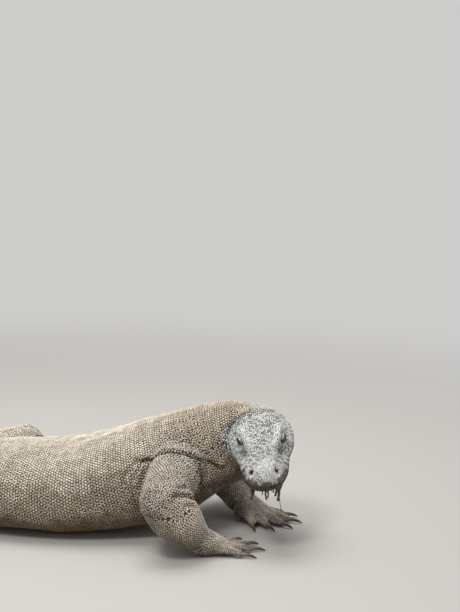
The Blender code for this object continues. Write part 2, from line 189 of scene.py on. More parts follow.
def drift(points: Array, wavelength: float, seed: int, waves: int = 8) -> Array:
    """A smooth value that wanders between about -1 and 1 through space.

    Args:
        points: places.
        wavelength: from crest to crest.
        seed: picks the pattern.
        waves: how many are added up.

    Returns:
        One value per place.
    """
    draw = np.random.default_rng(seed)
    total = np.zeros(len(points))
    for _ in range(waves):
        direction = draw.normal(size=3)
        direction *= 2 * math.pi / (wavelength * draw.uniform(0.7, 1.5) * np.linalg.norm(direction))
        total += np.sin(points @ direction + draw.uniform(0, 2 * math.pi))
    return total / (1.6 * math.sqrt(waves / 2))


def lengths(rows: Array) -> Array:
    """Each row's length."""
    return np.linalg.norm(rows, axis=1)


def reaches(points: Array, middle: Place | Array, reach: Place) -> Array:
    """How far places are from a middle, counted in reaches along each axis."""
    return lengths((points - np.array(middle)) / reach)


def puff(points: Array, middle: Place | Array, reach: Place) -> Array:
    """A smooth lump, 1 in its middle, with its own reach along each axis."""
    return np.exp(-np.sum(((points - np.array(middle)) / np.array(reach)) ** 2, axis=1))


def boxed(points: Array, middle: Place, reach: Place) -> Array:
    """Whether places lie in a box, given by its middle and half sizes."""
    return np.all(np.abs(points - middle) < reach, axis=1)


def unit(vectors: Array) -> Array:
    """The vectors at length 1, along their last axis."""
    return vectors / np.maximum(np.linalg.norm(vectors, axis=-1, keepdims=True), 1e-12)


def level(degrees: float) -> Array:
    """The level direction at an angle anticlockwise from +X."""
    angle = math.radians(degrees)
    return np.array((math.cos(angle), math.sin(angle), 0.0))


def smooth_rows(rows: Array, per_span: int) -> Array:
    """Rows of numbers with a Catmull-Rom curve's rows put in between them.

    Args:
        rows: what the curve passes through.
        per_span: how many rows replace each of them.

    Returns:
        All the rows.
    """
    rows = np.asarray(rows, float)
    padded = np.vstack([2 * rows[0] - rows[1], rows, 2 * rows[-1] - rows[-2]])
    out = []
    for i in range(len(rows) - 1):
        a, b, c, d = padded[i : i + 4]
        for t in np.arange(per_span) / per_span:
            square, cube = 2 * a - 5 * b + 4 * c - d, 3 * b - 3 * c + d - a
            out.append(b + 0.5 * ((c - a) * t + square * t**2 + cube * t**3))
    out.append(rows[-1])
    return np.array(out)


def relax_line(rows: Array, rounds: int) -> Array:
    """A line of rows smoothed, its ends kept."""
    rows = rows.copy()
    for _ in range(rounds):
        rows[1:-1] = 0.25 * rows[:-2] + 0.5 * rows[1:-1] + 0.25 * rows[2:]
    return rows


def run_of(rows: Array) -> Array:
    """The metres along a path at each of its corners."""
    return np.concatenate([[0], np.cumsum(lengths(np.diff(rows, axis=0)))])


def between(at: Array, marks: Array, rows: Array) -> Array:
    """The rows in between rows that stand at marks."""
    return np.stack([np.interp(at, marks, column) for column in rows.T], axis=1)


def nearest_on(path: Array, points: Array) -> tuple[Array, Array, Array]:
    """Where each point is nearest to a path.

    Args:
        path: its corners.
        points: places.

    Returns:
        The distance, where it is counted in corners, and the nearest place.
    """
    best = np.full(len(points), np.inf)
    where = np.zeros(len(points))
    place = np.zeros((len(points), 3))
    for i in range(len(path) - 1):
        span = path[i + 1] - path[i]
        share = np.clip((points - path[i]) @ span / max(span @ span, 1e-12), 0, 1)
        near = path[i] + share[:, None] * span
        distance = lengths(points - near)
        closer = distance < best
        best[closer] = distance[closer]
        where[closer] = i + share[closer]
        place[closer] = near[closer]
    return best, where, place


def quaternions(along: Array, out: Array) -> Array:
    """The turns that take X to along and Z to out.

    Args:
        along: directions, not always square to out.
        out: directions.

    Returns:
        Rows of w, x, y, z.
    """
    z = unit(out)
    x = unit(along - np.sum(along * z, axis=1, keepdims=True) * z)
    y = np.cross(z, x)
    m = np.stack([x, y, z], axis=2)
    parts = [0.5 * np.sqrt(np.maximum(0, 1 + m[:, 0, 0] + m[:, 1, 1] + m[:, 2, 2]))]
    for i, j, k in ((0, 1, 2), (1, 2, 0), (2, 0, 1)):
        size = 0.5 * np.sqrt(np.maximum(0, 1 + m[:, i, i] - m[:, j, j] - m[:, k, k]))
        parts.append(np.copysign(size, m[:, k, j] - m[:, j, k]))
    return unit(np.stack(parts, axis=1))


BROW_LINE = smooth_rows(np.array(BROW), 5)


def lip_height(along: Array) -> Array:
    """The height of the mouth's line, which dips under the snout and rises at its corner."""
    return LIP_LINE - 0.0025 * bell(along - 0.085, 0.035) + 0.004 * ramp(-along, -0.040, 0.0)


def folded(local: Array) -> Array:
    """Places in the head's frame with the right side folded over onto the left."""
    return np.stack([local[:, 0], np.abs(local[:, 1]), local[:, 2]], axis=1)


# -------------------- the body's plan


class Lie(Enum):
    """Which way scales point along a spine: with its course or against it."""

    WITH = 1
    AGAINST = -1


@dataclass
class Spine:
    """A path through one part of the body, with its half width and half height along the way."""

    name: str
    group: str
    rows: Array
    lie: Lie
    spacing: tuple[float, float]
    run: Array = field(init=False)

    def __post_init__(self) -> None:
        """Measures the path."""
        self.run = run_of(self.rows[:, :3])

    @property
    def length(self) -> float:
        """The path's length."""
        return float(self.run[-1])

    def spacing_at(self, metres: float) -> float:
        """The width of scales at metres along the path."""
        return self.spacing[0] + (self.spacing[1] - self.spacing[0]) * metres / self.length

    def axes(self, where: Array) -> tuple[Array, Array, Array]:
        """The directions at places on the path.

        Args:
            where: places counted in rows.

        Returns:
            Forward, right and up.
        """
        tangents = unit(np.gradient(self.rows[:, :3], axis=0))
        low = np.clip(where.astype(int), 0, len(self.rows) - 2)
        share = (where - low)[:, None]
        forward = unit(tangents[low] * (1 - share) + tangents[low + 1] * share)
        side = unit(np.cross(forward, UP))
        return forward, side, np.cross(side, forward)

    def row_at(self, metres: Array) -> Array:
        """The place counted in rows, at metres along the path."""
        return np.interp(metres, self.run, np.arange(len(self.run)))

    def sizes_at(self, where: Array) -> Array:
        """The row's numbers at places counted in rows."""
        return between(where, np.arange(len(self.rows)), self.rows)

    def locate(self, points: Array) -> tuple[Array, Array, Array]:
        """Where points lie against this part.

        Args:
            points: places.

        Returns:
            How far out each is, 1 on the part's own surface, the metres along, and the angle round
            from its right side towards its top.
        """
        out = np.full(len(points), np.inf)
        metres, angles = np.zeros(len(points)), np.zeros(len(points))
        reach = 1.6 * self.rows[:, 3:5].max()
        low, high = self.rows[:, :3].min(0) - reach, self.rows[:, :3].max(0) + reach
        inside = np.all((points > low) & (points < high), axis=1)
        if not inside.any():
            return out, metres, angles
        _, where, place = nearest_on(self.rows[:, :3], points[inside])
        forward, side, up = self.axes(where)
        sizes = self.sizes_at(where)
        offset = points[inside] - place
        ahead, right, high_up = (np.sum(offset * axis, axis=1) for axis in (forward, side, up))
        spread = np.sqrt((right / sizes[:, 3]) ** 2 + (high_up / sizes[:, 4]) ** 2)
        past = np.abs(ahead) / sizes[:, 3:5].mean(axis=1)
        out[inside] = np.sqrt(spread**2 + past**2)
        metres[inside] = np.interp(where, np.arange(len(self.run)), self.run) + ahead
        angles[inside] = np.arctan2(high_up / sizes[:, 4], right / sizes[:, 3])
        return out, metres, angles


@dataclass
class Body:
    """The plan of the whole animal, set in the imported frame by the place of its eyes."""

    tail_steps: int = 90
    tail_half: tuple[float, float] = (0.086, 0.075)  # half width and half height at its root
    tail_least: float = 0.004
    skull_share: float = 0.94  # the skull owns the skin a little beyond halfway to the neck
    toe_gap: float = 0.0118

    def __post_init__(self) -> None:
        """Sets the head's axes, finds the shift to the frame, and lays out the spines."""
        ahead, down = math.cos(HEAD_PITCH), -math.sin(HEAD_PITCH)
        forward = Vector((ahead * math.cos(HEAD_HEADING), ahead * math.sin(HEAD_HEADING), down))
        left = Vector((0, 0, 1)).cross(forward).normalized()
        up = forward.cross(left)
        roll = Matrix.Rotation(HEAD_ROLL, 3, forward)
        self.head_axes = np.array([forward, roll @ left, roll @ up])
        boxes = [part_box(f"eye_{side}") for side in ("right", "left")]
        middle = np.mean([np.array(corner) for box in boxes for corner in box], axis=0)
        planned = np.array(HEAD_AT) + np.array((EYE[0], 0, EYE[2])) @ self.head_axes
        self.shift = middle - planned
        self.head_at = np.array(HEAD_AT) + self.shift
        self.spines = self.lay_out()
        self.groups = np.array([spine.group for spine in self.spines])

    def on_head(self, along: float, out: float, up: float) -> Array:
        """A place by metres ahead of the jaw joints, to the animal's left, and upwards."""
        return self.head_at + np.array((along, out, up)) @ self.head_axes

    def in_head(self, points: Array) -> Array:
        """Points in the head's own frame: ahead, left and up."""
        return (points - self.head_at) @ self.head_axes.T

    def trunk_rows(self) -> Array:
        """Path and sizes of the trunk and neck, centred between back and belly."""
        rows = smooth_rows(np.array(TRUNK), 6)
        rows[:, :3] += self.shift
        rows[:, 2] += (rows[:, 4] - rows[:, 5]) / 2
        return np.column_stack([rows[:, :4], (rows[:, 4] + rows[:, 5]) / 2])

    def tail_rows(self) -> Array:
        """Path and sizes of the tail, which sweeps to one side on the floor."""
        at = np.array(TRUNK[0][:2]) + self.shift[:2]
        rows, steps, least = [], self.tail_steps, self.tail_least
        for k in range(steps + 1):
            share = k / steps
            slim = (1 - share) ** 0.95
            pinch = math.sin(math.pi * share**0.6)
            wide = self.tail_half[0] * slim * (1 - 0.34 * pinch) + least
            high = self.tail_half[1] * slim * (1 - 0.10 * pinch) + least
            rows.append((*at, max(high - least * min(1, high / 0.02), 0.003), wide, high))
            turn = TAIL_HEADING + TAIL_TURN * (share + 0.5 / steps) ** 1.3
            at = at + TAIL_LENGTH / steps * np.array((math.cos(turn), math.sin(turn)))
        return np.array(rows)

    def skull_rows(self) -> Array:
        """Path and sizes of the head, from the jaw joints to the snout."""
        rows = []
        for along, wide, up, down in smooth_rows(np.array(SKULL), 4):
            rows.append((*self.on_head(along, 0, (up - down) / 2), wide, (up + down) / 2))
        return np.array(rows)

    def limb_rows(self, plan: LimbPlan) -> Array:
        """Path and sizes of a limb, from inside the trunk to the palm or sole."""
        root, joint, ankle = (np.array(p) + self.shift for p in (plan.root, plan.joint, plan.ankle))
        ahead = level(plan.heading)
        instep, palm = (ankle + ahead * metres * plan.reach for metres in (0.024, 0.060))
        instep[2], palm[2] = 0.024, 0.015
        r = plan.radii
        rows = [
            (*root, r[0], r[0]),
            (*(root + 0.62 * (joint - root)), r[1], r[1]),
            (*joint, r[1], r[1]),
            (*(joint + 0.36 * (ankle - joint)), r[2], r[2]),
            (*ankle, r[3], r[3]),
            (*instep, 0.034, 0.027),
            (*palm, 0.036, 0.0175),
        ]
        return smooth_rows(np.array(rows), 5)

    def toe_line(self, plan: LimbPlan, k: int) -> tuple[Array, Array, Array, Array]:
        """The course of one toe.

        Args:
            plan: the toe's limb.
            k: the toe's number, from 0 on the inner side.

        Returns:
            Its start, its knuckle, the root of its claw, and the way it points.
        """
        ahead = level(plan.heading - plan.side * TOE_SPREAD[k])
        ankle = np.array(plan.ankle) + self.shift
        start = ankle + 0.036 * plan.reach * level(plan.heading)
        start = start + level(plan.heading + 90) * plan.side * (k - 2) * self.toe_gap * plan.reach
        knuckle = start + ahead * plan.toes[k] * 0.45
        tip = start + ahead * plan.toes[k]
        start[2], knuckle[2], tip[2] = 0.0150, 0.0145, 0.0070
        return start, knuckle, tip, ahead

    def toe_rows(self, plan: LimbPlan, k: int) -> Array:
        """Path and sizes of a toe from where it leaves the palm."""
        start, knuckle, tip, _ = self.toe_line(plan, k)
        begin = start + 0.30 * (knuckle - start)
        stations = ((begin, 0.0120), (knuckle, 0.0105), (tip, 0.0082))
        return smooth_rows(np.array([(*at, radius, radius) for at, radius in stations]), 4)

    def lay_out(self) -> list[Spine]:
        """Every part's spine."""
        spines = [
            Spine("trunk", "trunk", self.trunk_rows(), Lie.AGAINST, (0.0070, 0.0061)),
            Spine("tail", "tail", self.tail_rows(), Lie.WITH, (0.0070, 0.0038)),
            Spine("skull", "head", self.skull_rows(), Lie.AGAINST, (0.0046, 0.0034)),
        ]
        for name, plan in LIMBS.items():
            spines.append(Spine(name, name, self.limb_rows(plan), Lie.WITH, (0.0073, 0.0046)))
            for k in range(5):
                rows = self.toe_rows(plan, k)
                spines.append(Spine(f"{name}_toe_{k + 1}", name, rows, Lie.WITH, (0.0045, 0.0035)))
        return spines

    def owners(self, points: Array) -> tuple[Array, Array, Array]:
        """The part that each point belongs to.

        Args:
            points: places.

        Returns:
            Its number, the metres along it and the angle round it.
        """
        best = np.full(len(points), np.inf)
        owner = np.zeros(len(points), int)
        metres, angles = np.zeros(len(points)), np.zeros(len(points))
        for index, spine in enumerate(self.spines):
            out, along, angle = spine.locate(points)
            out = out * (self.skull_share if spine.name == "skull" else 1.0)
            closer = out < best
            best[closer], owner[closer] = out[closer], index
            metres[closer], angles[closer] = along[closer], angle[closer]
        return owner, metres, angles


# -------------------- meshes as arrays


def mesh_arrays(mesh: Mesh) -> tuple[Array, Array]:
    """A mesh's vertex places and normals."""
    co, normals = np.empty((2, len(mesh.vertices) * 3), np.float32)
    mesh.vertices.foreach_get("co", co)
    mesh.vertex_normals.foreach_get("vector", normals)
    return co.reshape(-1, 3).astype(float), normals.reshape(-1, 3).astype(float)


def set_places(mesh: Mesh, co: Array) -> None:
    """Puts new places into a mesh."""
    mesh.vertices.foreach_set("co", co.astype(np.float32).ravel())
    mesh.update()


def keep_above(mesh: Mesh, height: float) -> None:
    """Lifts a mesh's lowest places to a height."""
    co, _ = mesh_arrays(mesh)
    co[:, 2] = np.maximum(co[:, 2], height)
    set_places(mesh, co)


def neighbour_table(mesh: Mesh, most: int = 8) -> Array:
    """Each vertex's neighbours, padded with the vertex itself.

    Args:
        mesh: the mesh.
        most: how many are kept.

    Returns:
        A row of vertex numbers for each.
    """
    edges = np.empty(len(mesh.edges) * 2, np.int32)
    mesh.edges.foreach_get("vertices", edges)
    edges = edges.reshape(-1, 2)
    both = np.vstack([edges, edges[:, ::-1]])
    both = both[np.argsort(both[:, 0], kind="stable")]
    count = np.bincount(both[:, 0], minlength=len(mesh.vertices))
    first = np.concatenate([[0], np.cumsum(count)[:-1]])
    slot = np.arange(len(both)) - first[both[:, 0]]
    table = np.tile(np.arange(len(mesh.vertices))[:, None], (1, most))
    kept = slot < most
    table[both[kept, 0], slot[kept]] = both[kept, 1]
    return table


def relax(co: Array, table: Array, weight: Array, rounds: int, keep: float) -> Array:
    """Smooths places over their neighbours.

    Args:
        co: the places.
        table: from neighbour_table.
        weight: how strongly each place moves.
        rounds: how many times.
        keep: the share of the shrinking that is given back.

    Returns:
        The smoothed places.
    """
    own = (table == np.arange(len(table))[:, None]).sum(axis=1)
    used = np.maximum(table.shape[1] - own, 1)[:, None]
    weight = weight[:, None]
    for _ in range(rounds):
        for step in (0.5, -0.5 * keep):
            mean = (co[table].sum(axis=1) - own[:, None] * co) / used
            co = co + step * weight * (mean - co)
    return co


@contextmanager
def editing(mesh: Mesh) -> Iterator[bmesh.types.BMesh]:
    """A mesh opened for editing, and written back at the end."""
    bm = bmesh.new()
    bm.from_mesh(mesh)
    yield bm
    bm.to_mesh(mesh)
    bm.free()


def joined_copy(nodes: list[str], fatten: float) -> Mesh:
    """One mesh of several CAD nodes' shapes.

    Args:
        nodes: the nodes' names.
        fatten: how far out each surface moves, so that they meet.

    Returns:
        The new mesh.
    """
    mesh = bpy.data.meshes.new("joined")
    with editing(mesh) as bm:
        for name in nodes:
            copy = frame["nodes"][name].data.copy()
            with editing(copy) as part:
                bmesh.ops.remove_doubles(part, verts=part.verts, dist=1e-6)
                bmesh.ops.recalc_face_normals(part, faces=part.faces)
                part.normal_update()
                for vertex in part.verts:
                    vertex.co += vertex.normal * fatten
            bm.from_mesh(copy)
            bpy.data.meshes.remove(copy)
    return mesh


def evaluated(obj: Object) -> Mesh:
    """The object's mesh with its modifiers in it; the object is removed."""
    bpy.context.view_layer.update()
    graph = bpy.context.evaluated_depsgraph_get()
    mesh = bpy.data.meshes.new_from_object(obj.evaluated_get(graph))
    bpy.data.objects.remove(obj, do_unlink=True)
    return mesh


def surface_of(obj: Object) -> BVHTree:
    """The object's surface as it now is, for finding near places and casting rays."""
    bpy.context.view_layer.update()
    return BVHTree.FromObject(obj, bpy.context.evaluated_depsgraph_get())


def nearest_skin(surface: BVHTree, places: Array) -> tuple[Array, Array]:
    """The surface's nearest places, and its normals there."""
    found = [surface.find_nearest(place) for place in places.tolist()]
    return np.array([f[0] for f in found]), np.array([f[1] for f in found])


def add_object(name: str, mesh: Mesh) -> Object:
    """A new object in the scene."""
    made = bpy.data.objects.new(name, mesh)
    bpy.context.scene.collection.objects.link(made)
    return made


def smooth_shaded(mesh: Mesh) -> None:
    """Shades a mesh smooth."""
    mesh.polygons.foreach_set("use_smooth", np.ones(len(mesh.polygons), bool))
    mesh.update()


def put_attribute(mesh: Mesh, name: str, kind: str, values: Array, domain: str = "POINT") -> None:
    """Stores values as a named attribute of a mesh."""
    made = mesh.attributes.get(name) or mesh.attributes.new(name, kind, domain)
    key = {"FLOAT_COLOR": "color", "FLOAT2": "vector", "FLOAT_VECTOR": "vector"}.get(kind, "value")
    number = np.int32 if kind == "INT" else np.float32
    made.data.foreach_set(key, np.asarray(values, number).ravel())


def tubes(name: str, rings: list[Array], around: int) -> Mesh:
    """Closed tubes in one mesh, their faces outwards.

    Args:
        name: the mesh's name.
        rings: each tube's places, ring after ring.
        around: how many places a ring has.

    Returns:
        The new mesh.
    """
    faces, first = [], 0
    for tube in rings:
        last = first + len(tube) - around
        for start in range(first, last, around):
            for j in range(around):
                a, b = start + j, start + (j + 1) % around
                faces.append((a, b, b + around, a + around))
        faces.append(tuple(first + j for j in reversed(range(around))))
        faces.append(tuple(last + j for j in range(around)))
        first = last + around
    mesh = bpy.data.meshes.new(name)
    mesh.from_pydata(np.concatenate(rings).tolist(), [], faces)
    with editing(mesh) as bm:
        bmesh.ops.recalc_face_normals(bm, faces=bm.faces)
    return mesh


# -------------------- folds and the face


@dataclass(frozen=True)
class Fold:
    """A fold of loose skin: a ridge that may lean over the groove beneath it, along a path."""

    path: tuple[Place, ...]
    ridge: float
    ridge_width: float
    groove: float
    groove_width: float
    lean: float = 0.0
    on_head: bool = False


def fold_of(path: tuple[Place, ...], *sizes: float, on_head: bool = False) -> Fold:
    """A fold in metres, from a path and sizes in millimetres."""
    spots = tuple(tuple(value / 1000 for value in spot) for spot in path)
    return Fold(spots, *(size / 1000 for size in sizes), on_head=on_head)


FOLDS = (
    # the long fold that hangs over the right shoulder, and the flap at its front end
    fold_of(
        ((-205, -50, 172), (-189, -50, 181), (-168, -52, 186), (-146, -62, 196), (-118, -74, 203),
         (-88, -72, 197), (-63, -58, 183), (-42, -38, 175)),
        4.6, 7.5, 8.4, 6.2, 6.2,
    ),
    fold_of(
        ((-50, -40, 178), (-36, -33, 170), (-24, -29, 160), (-10, -25, 154)), 5.5, 7, 7, 6, 4.5
    ),
    fold_of(((-46, -40, 196), (-36, -38, 180), (-30, -34, 165)), 3, 5, 4, 5, 1),
    # folds that stand upright where the neck turns, behind the jaw
    fold_of(
        ((-12, -20, 222), (-8, -23, 202), (-4, -24, 181), (0, -22, 158), (-2, -15, 135)),
        3.4, 6, 5.2, 5, 2,
    ),
    fold_of(
        ((-30, -18, 228), (-26, -26, 205), (-22, -29, 184), (-20, -27, 165)), 2.2, 6, 3.4, 5, 1
    ),
    fold_of(
        ((10, -10, 238), (12, -18, 215), (13, -22, 190), (12, -20, 160), (10, -8, 136)),
        2.6, 5, 5.6, 5, 2,
    ),
    # creases that spread from behind the right shoulder
    fold_of(
        ((-160, -62, 184), (-174, -66, 160), (-180, -70, 132), (-178, -70, 106)), 3, 8, 5.2, 6, -1
    ),
    fold_of(((-174, -56, 182), (-192, -64, 152), (-200, -68, 124)), 2.4, 8, 3.6, 6),
    fold_of(((-188, -52, 178), (-210, -62, 150), (-222, -68, 118)), 1.6, 8, 2.4, 6),
    # in front of the right arm, and round the bend of its elbow
    fold_of(((-80, -76, 192), (-66, -74, 168), (-58, -52, 134), (-60, -28, 96)), 3, 8, 6, 6, 1),
    fold_of(
        ((-124, -206, 138), (-110, -196, 147), (-92, -180, 143), (-78, -160, 131),
         (-70, -138, 118)),
        4.4, 8, 5.6, 6, 3,
    ),
    fold_of(((-112, -188, 158), (-96, -172, 156), (-84, -150, 146)), 2.2, 7, 3, 5, 1),
    fold_of(((-100, -200, 122), (-84, -184, 120), (-70, -162, 106)), 1.8, 6, 2.8, 5),
    # the left shoulder's fold, and the creases behind it
    fold_of(
        ((-20, 150, 190), (-50, 178, 192), (-90, 196, 196), (-130, 194, 192), (-172, 186, 180)),
        5.4, 10, 7, 7.5, 5,
    ),
    fold_of(((-160, 196, 178), (-176, 204, 150), (-182, 206, 120)), 2.8, 8, 4.6, 6),
    # the groins, in front of and behind each thigh
    fold_of(((-560, 10, 140), (-556, 0, 105), (-560, 4, 70)), 4, 10, 6, 8),
    fold_of(((-700, 80, 130), (-712, 74, 100), (-712, 80, 66)), 3, 9, 5, 7),
    fold_of(((-500, 290, 140), (-494, 300, 105), (-500, 290, 70)), 4, 10, 6, 8),
    fold_of(((-690, 290, 130), (-700, 296, 100), (-700, 290, 66)), 3, 9, 5, 7),
)
# in the head's own frame: the edge of the skull's scales behind the right jaw, and its left end
HEAD_FOLDS = (
    fold_of(
        ((0, 52, 28), (-3, 36, 38), (-5, 15, 42), (-4, -8, 43), (1, -30, 41), (7, -46, 34),
         (11, -56, 20), (12, -61, 4), (9, -60, -14), (4, -54, -30)),
        2, 6, 6.4, 4.6, 0.8, on_head=True,
    ),
    fold_of(
        ((-10, 50, 20), (-16, 57, 4), (-16, 56, -14), (-10, 50, -30)), 1.4, 6, 3, 4, 0, on_head=True
    ),
)


@dataclass(frozen=True)
class Wrinkles:
    """A patch of fine creases across a direction, fading out from its middle."""

    middle: Place
    reach: Place
    across: Place
    pitch: float
    depth: float


WRINKLE_PATCHES = (
    Wrinkles((-0.020, -0.010, 0.190), (0.060, 0.05, 0.070), (0.96, 0.10, 0.22), 0.0135, 0.0012),
    Wrinkles((0.020, 0.100, 0.200), (0.060, 0.06, 0.070), (0.80, 0.55, 0.10), 0.0150, 0.0009),
    Wrinkles((0.000, 0.050, 0.120), (0.070, 0.08, 0.040), (0.97, 0.05, -0.22), 0.0140, 0.0018),
    Wrinkles((-0.200, -0.060, 0.140), (0.050, 0.05, 0.050), (0.93, 0.05, 0.36), 0.0125, 0.0016),
    Wrinkles((-0.180, 0.195, 0.140), (0.050, 0.05, 0.050), (0.93, 0.05, 0.36), 0.0125, 0.0014),
    Wrinkles((-0.300, -0.060, 0.100), (0.120, 0.06, 0.060), (0.62, 0.00, 0.78), 0.0230, 0.0009),
    Wrinkles((-0.420, -0.040, 0.070), (0.140, 0.06, 0.050), (0.50, 0.00, 0.86), 0.0260, 0.0008),
    Wrinkles((-0.120, -0.100, 0.170), (0.040, 0.05, 0.035), (0.30, 0.80, 0.50), 0.0110, 0.0011),
    Wrinkles((-0.085, -0.165, 0.135), (0.035, 0.04, 0.030), (0.50, 0.20, -0.84), 0.0090, 0.0012),
    Wrinkles((-0.060, -0.140, 0.045), (0.030, 0.04, 0.020), (0.70, 0.20, -0.70), 0.0080, 0.0012),
    Wrinkles((0.020, 0.130, 0.045), (0.030, 0.04, 0.020), (0.60, -0.60, -0.50), 0.0080, 0.0012),
    Wrinkles((-0.560, -0.010, 0.110), (0.050, 0.05, 0.050), (0.80, 0.30, 0.50), 0.0130, 0.0014),
    Wrinkles((-0.510, 0.310, 0.110), (0.050, 0.05, 0.050), (0.80, -0.30, 0.50), 0.0130, 0.0014),
    Wrinkles((-0.740, 0.200, 0.080), (0.050, 0.12, 0.080), (0.96, -0.25, 0.00), 0.0180, 0.0010),
)


@dataclass
class Sculptor:
    """Shapes the skin: presses folds, wrinkles and the face's forms into its places."""

    body: Body
    obj: Object

    def __post_init__(self) -> None:
        """Keeps a snapshot of the skin's surface."""
        self.surface = surface_of(self.obj)
        self.co, self.normals = mesh_arrays(self.obj.data)

    def commit(self) -> None:
        """Writes the places back and reads the new normals."""
        set_places(self.obj.data, self.co)
        self.co, self.normals = mesh_arrays(self.obj.data)

    def fold(self, fold: Fold) -> None:
        """Presses one fold into the skin.

        Args:
            fold: the fold, whose path is first laid on the skin's snapshot.
        """
        corners = np.array(fold.path)
        if fold.on_head:
            corners = corners @ self.body.head_axes + self.body.head_at - self.body.shift
        path, facing = nearest_skin(self.surface, smooth_rows(corners + self.body.shift, 5))
        facing = unit(relax_line(facing, 3))
        path = relax_line(path, 1)
        widest = max(fold.ridge_width, fold.groove_width)
        low, high = path.min(0) - 4 * widest, path.max(0) + 4 * widest
        near = np.flatnonzero(np.all((self.co > low) & (self.co < high), axis=1))
        points, normals = self.co[near], self.normals[near]
        _, where, place = nearest_on(path, points)
        tangent = unit(np.gradient(path, axis=0))
        index = np.clip(np.round(where).astype(int), 0, len(path) - 1)
        along, out = tangent[index], facing[index]
        below = unit(np.cross(along, out))
        offset = points - place
        across, lift, beyond = (np.sum(offset * axis, axis=1) for axis in (below, out, along))
        share = where / (len(path) - 1)
        fade = ramp(share, 0, 0.22) * ramp(1 - share, 0, 0.22)
        fade = fade * bell(beyond, widest) * bell(lift, 0.03)
        fade = fade * (np.sum(normals * out, axis=1) > 0.1)
        rise = fold.ridge * bell(across + 0.7 * fold.ridge_width, fold.ridge_width)
        rise -= fold.groove * bell(across - 0.6 * fold.groove_width, fold.groove_width)
        lean = fold.lean * bell(across + 0.5 * fold.ridge_width, fold.ridge_width)
        self.co[near] += normals * (rise * fade)[:, None] + below * (lean * fade)[:, None]

    def wrinkle(self, patch: Wrinkles, seed: int) -> None:
        """Presses a patch of creases into the skin.

        Args:
            patch: the creases.
            seed: picks how they wander.
        """
        window = puff(self.co, np.array(patch.middle) + self.body.shift, patch.reach)
        near = np.flatnonzero(window > 0.02)
        points = self.co[near]
        phase = 2 * math.pi * (points @ unit(np.array(patch.across))) / patch.pitch
        phase += 1.5 * drift(points, 5 * patch.pitch, seed)
        crease = (0.5 + 0.5 * np.cos(phase)) ** 3
        uneven = 0.7 + 0.5 * drift(points, 3 * patch.pitch, seed + 1)
        depth = patch.depth * crease * window[near] * uneven
        self.co[near] -= self.normals[near] * depth[:, None]

    def lumps(self) -> None:
        """The slow unevenness of flesh and ribs under a loose skin."""
        slow = drift(self.co, 0.11, 71) * 0.0012 + drift(self.co, 0.035, 72) * 0.0004
        away = 1 - bell(lengths(self.co - self.body.on_head(0.08, 0, 0)), 0.11)
        self.co += self.normals * (slow * away)[:, None]


@dataclass(frozen=True)
class Hollow:
    """A soft dent, or with a negative depth a swelling, on both sides of the face."""

    at: Place
    reach: Place
    depth: float


HOLLOWS = (
    Hollow((0.101, 0.040, 0.018), (0.013, 0.012, 0.008), 0.0060),  # in front of the eye
    Hollow((0.118, 0.035, 0.015), (0.014, 0.012, 0.006), 0.0022),
    Hollow((0.046, 0.050, 0.020), (0.012, 0.012, 0.009), 0.0026),  # the temple
    Hollow((0.140, 0.000, 0.024), (0.022, 0.008, 0.012), 0.0016),  # from the nostrils to the brow
    Hollow((0.092, 0.000, 0.036), (0.026, 0.014, 0.012), 0.0014),
    Hollow((0.012, 0.060, -0.018), (0.026, 0.020, 0.022), -0.0040),  # the jaw muscle
    Hollow((0.060, 0.062, -0.014), (0.022, 0.016, 0.014), -0.0018),
    Hollow((0.152, 0.030, 0.016), (0.016, 0.012, 0.012), -0.0018),  # the swelling of the nose
    Hollow((0.020, 0.022, 0.040), (0.022, 0.014, 0.012), -0.0022),  # the skull roof's two halves
    Hollow((0.024, 0.000, 0.042), (0.030, 0.006, 0.012), 0.0014),
)


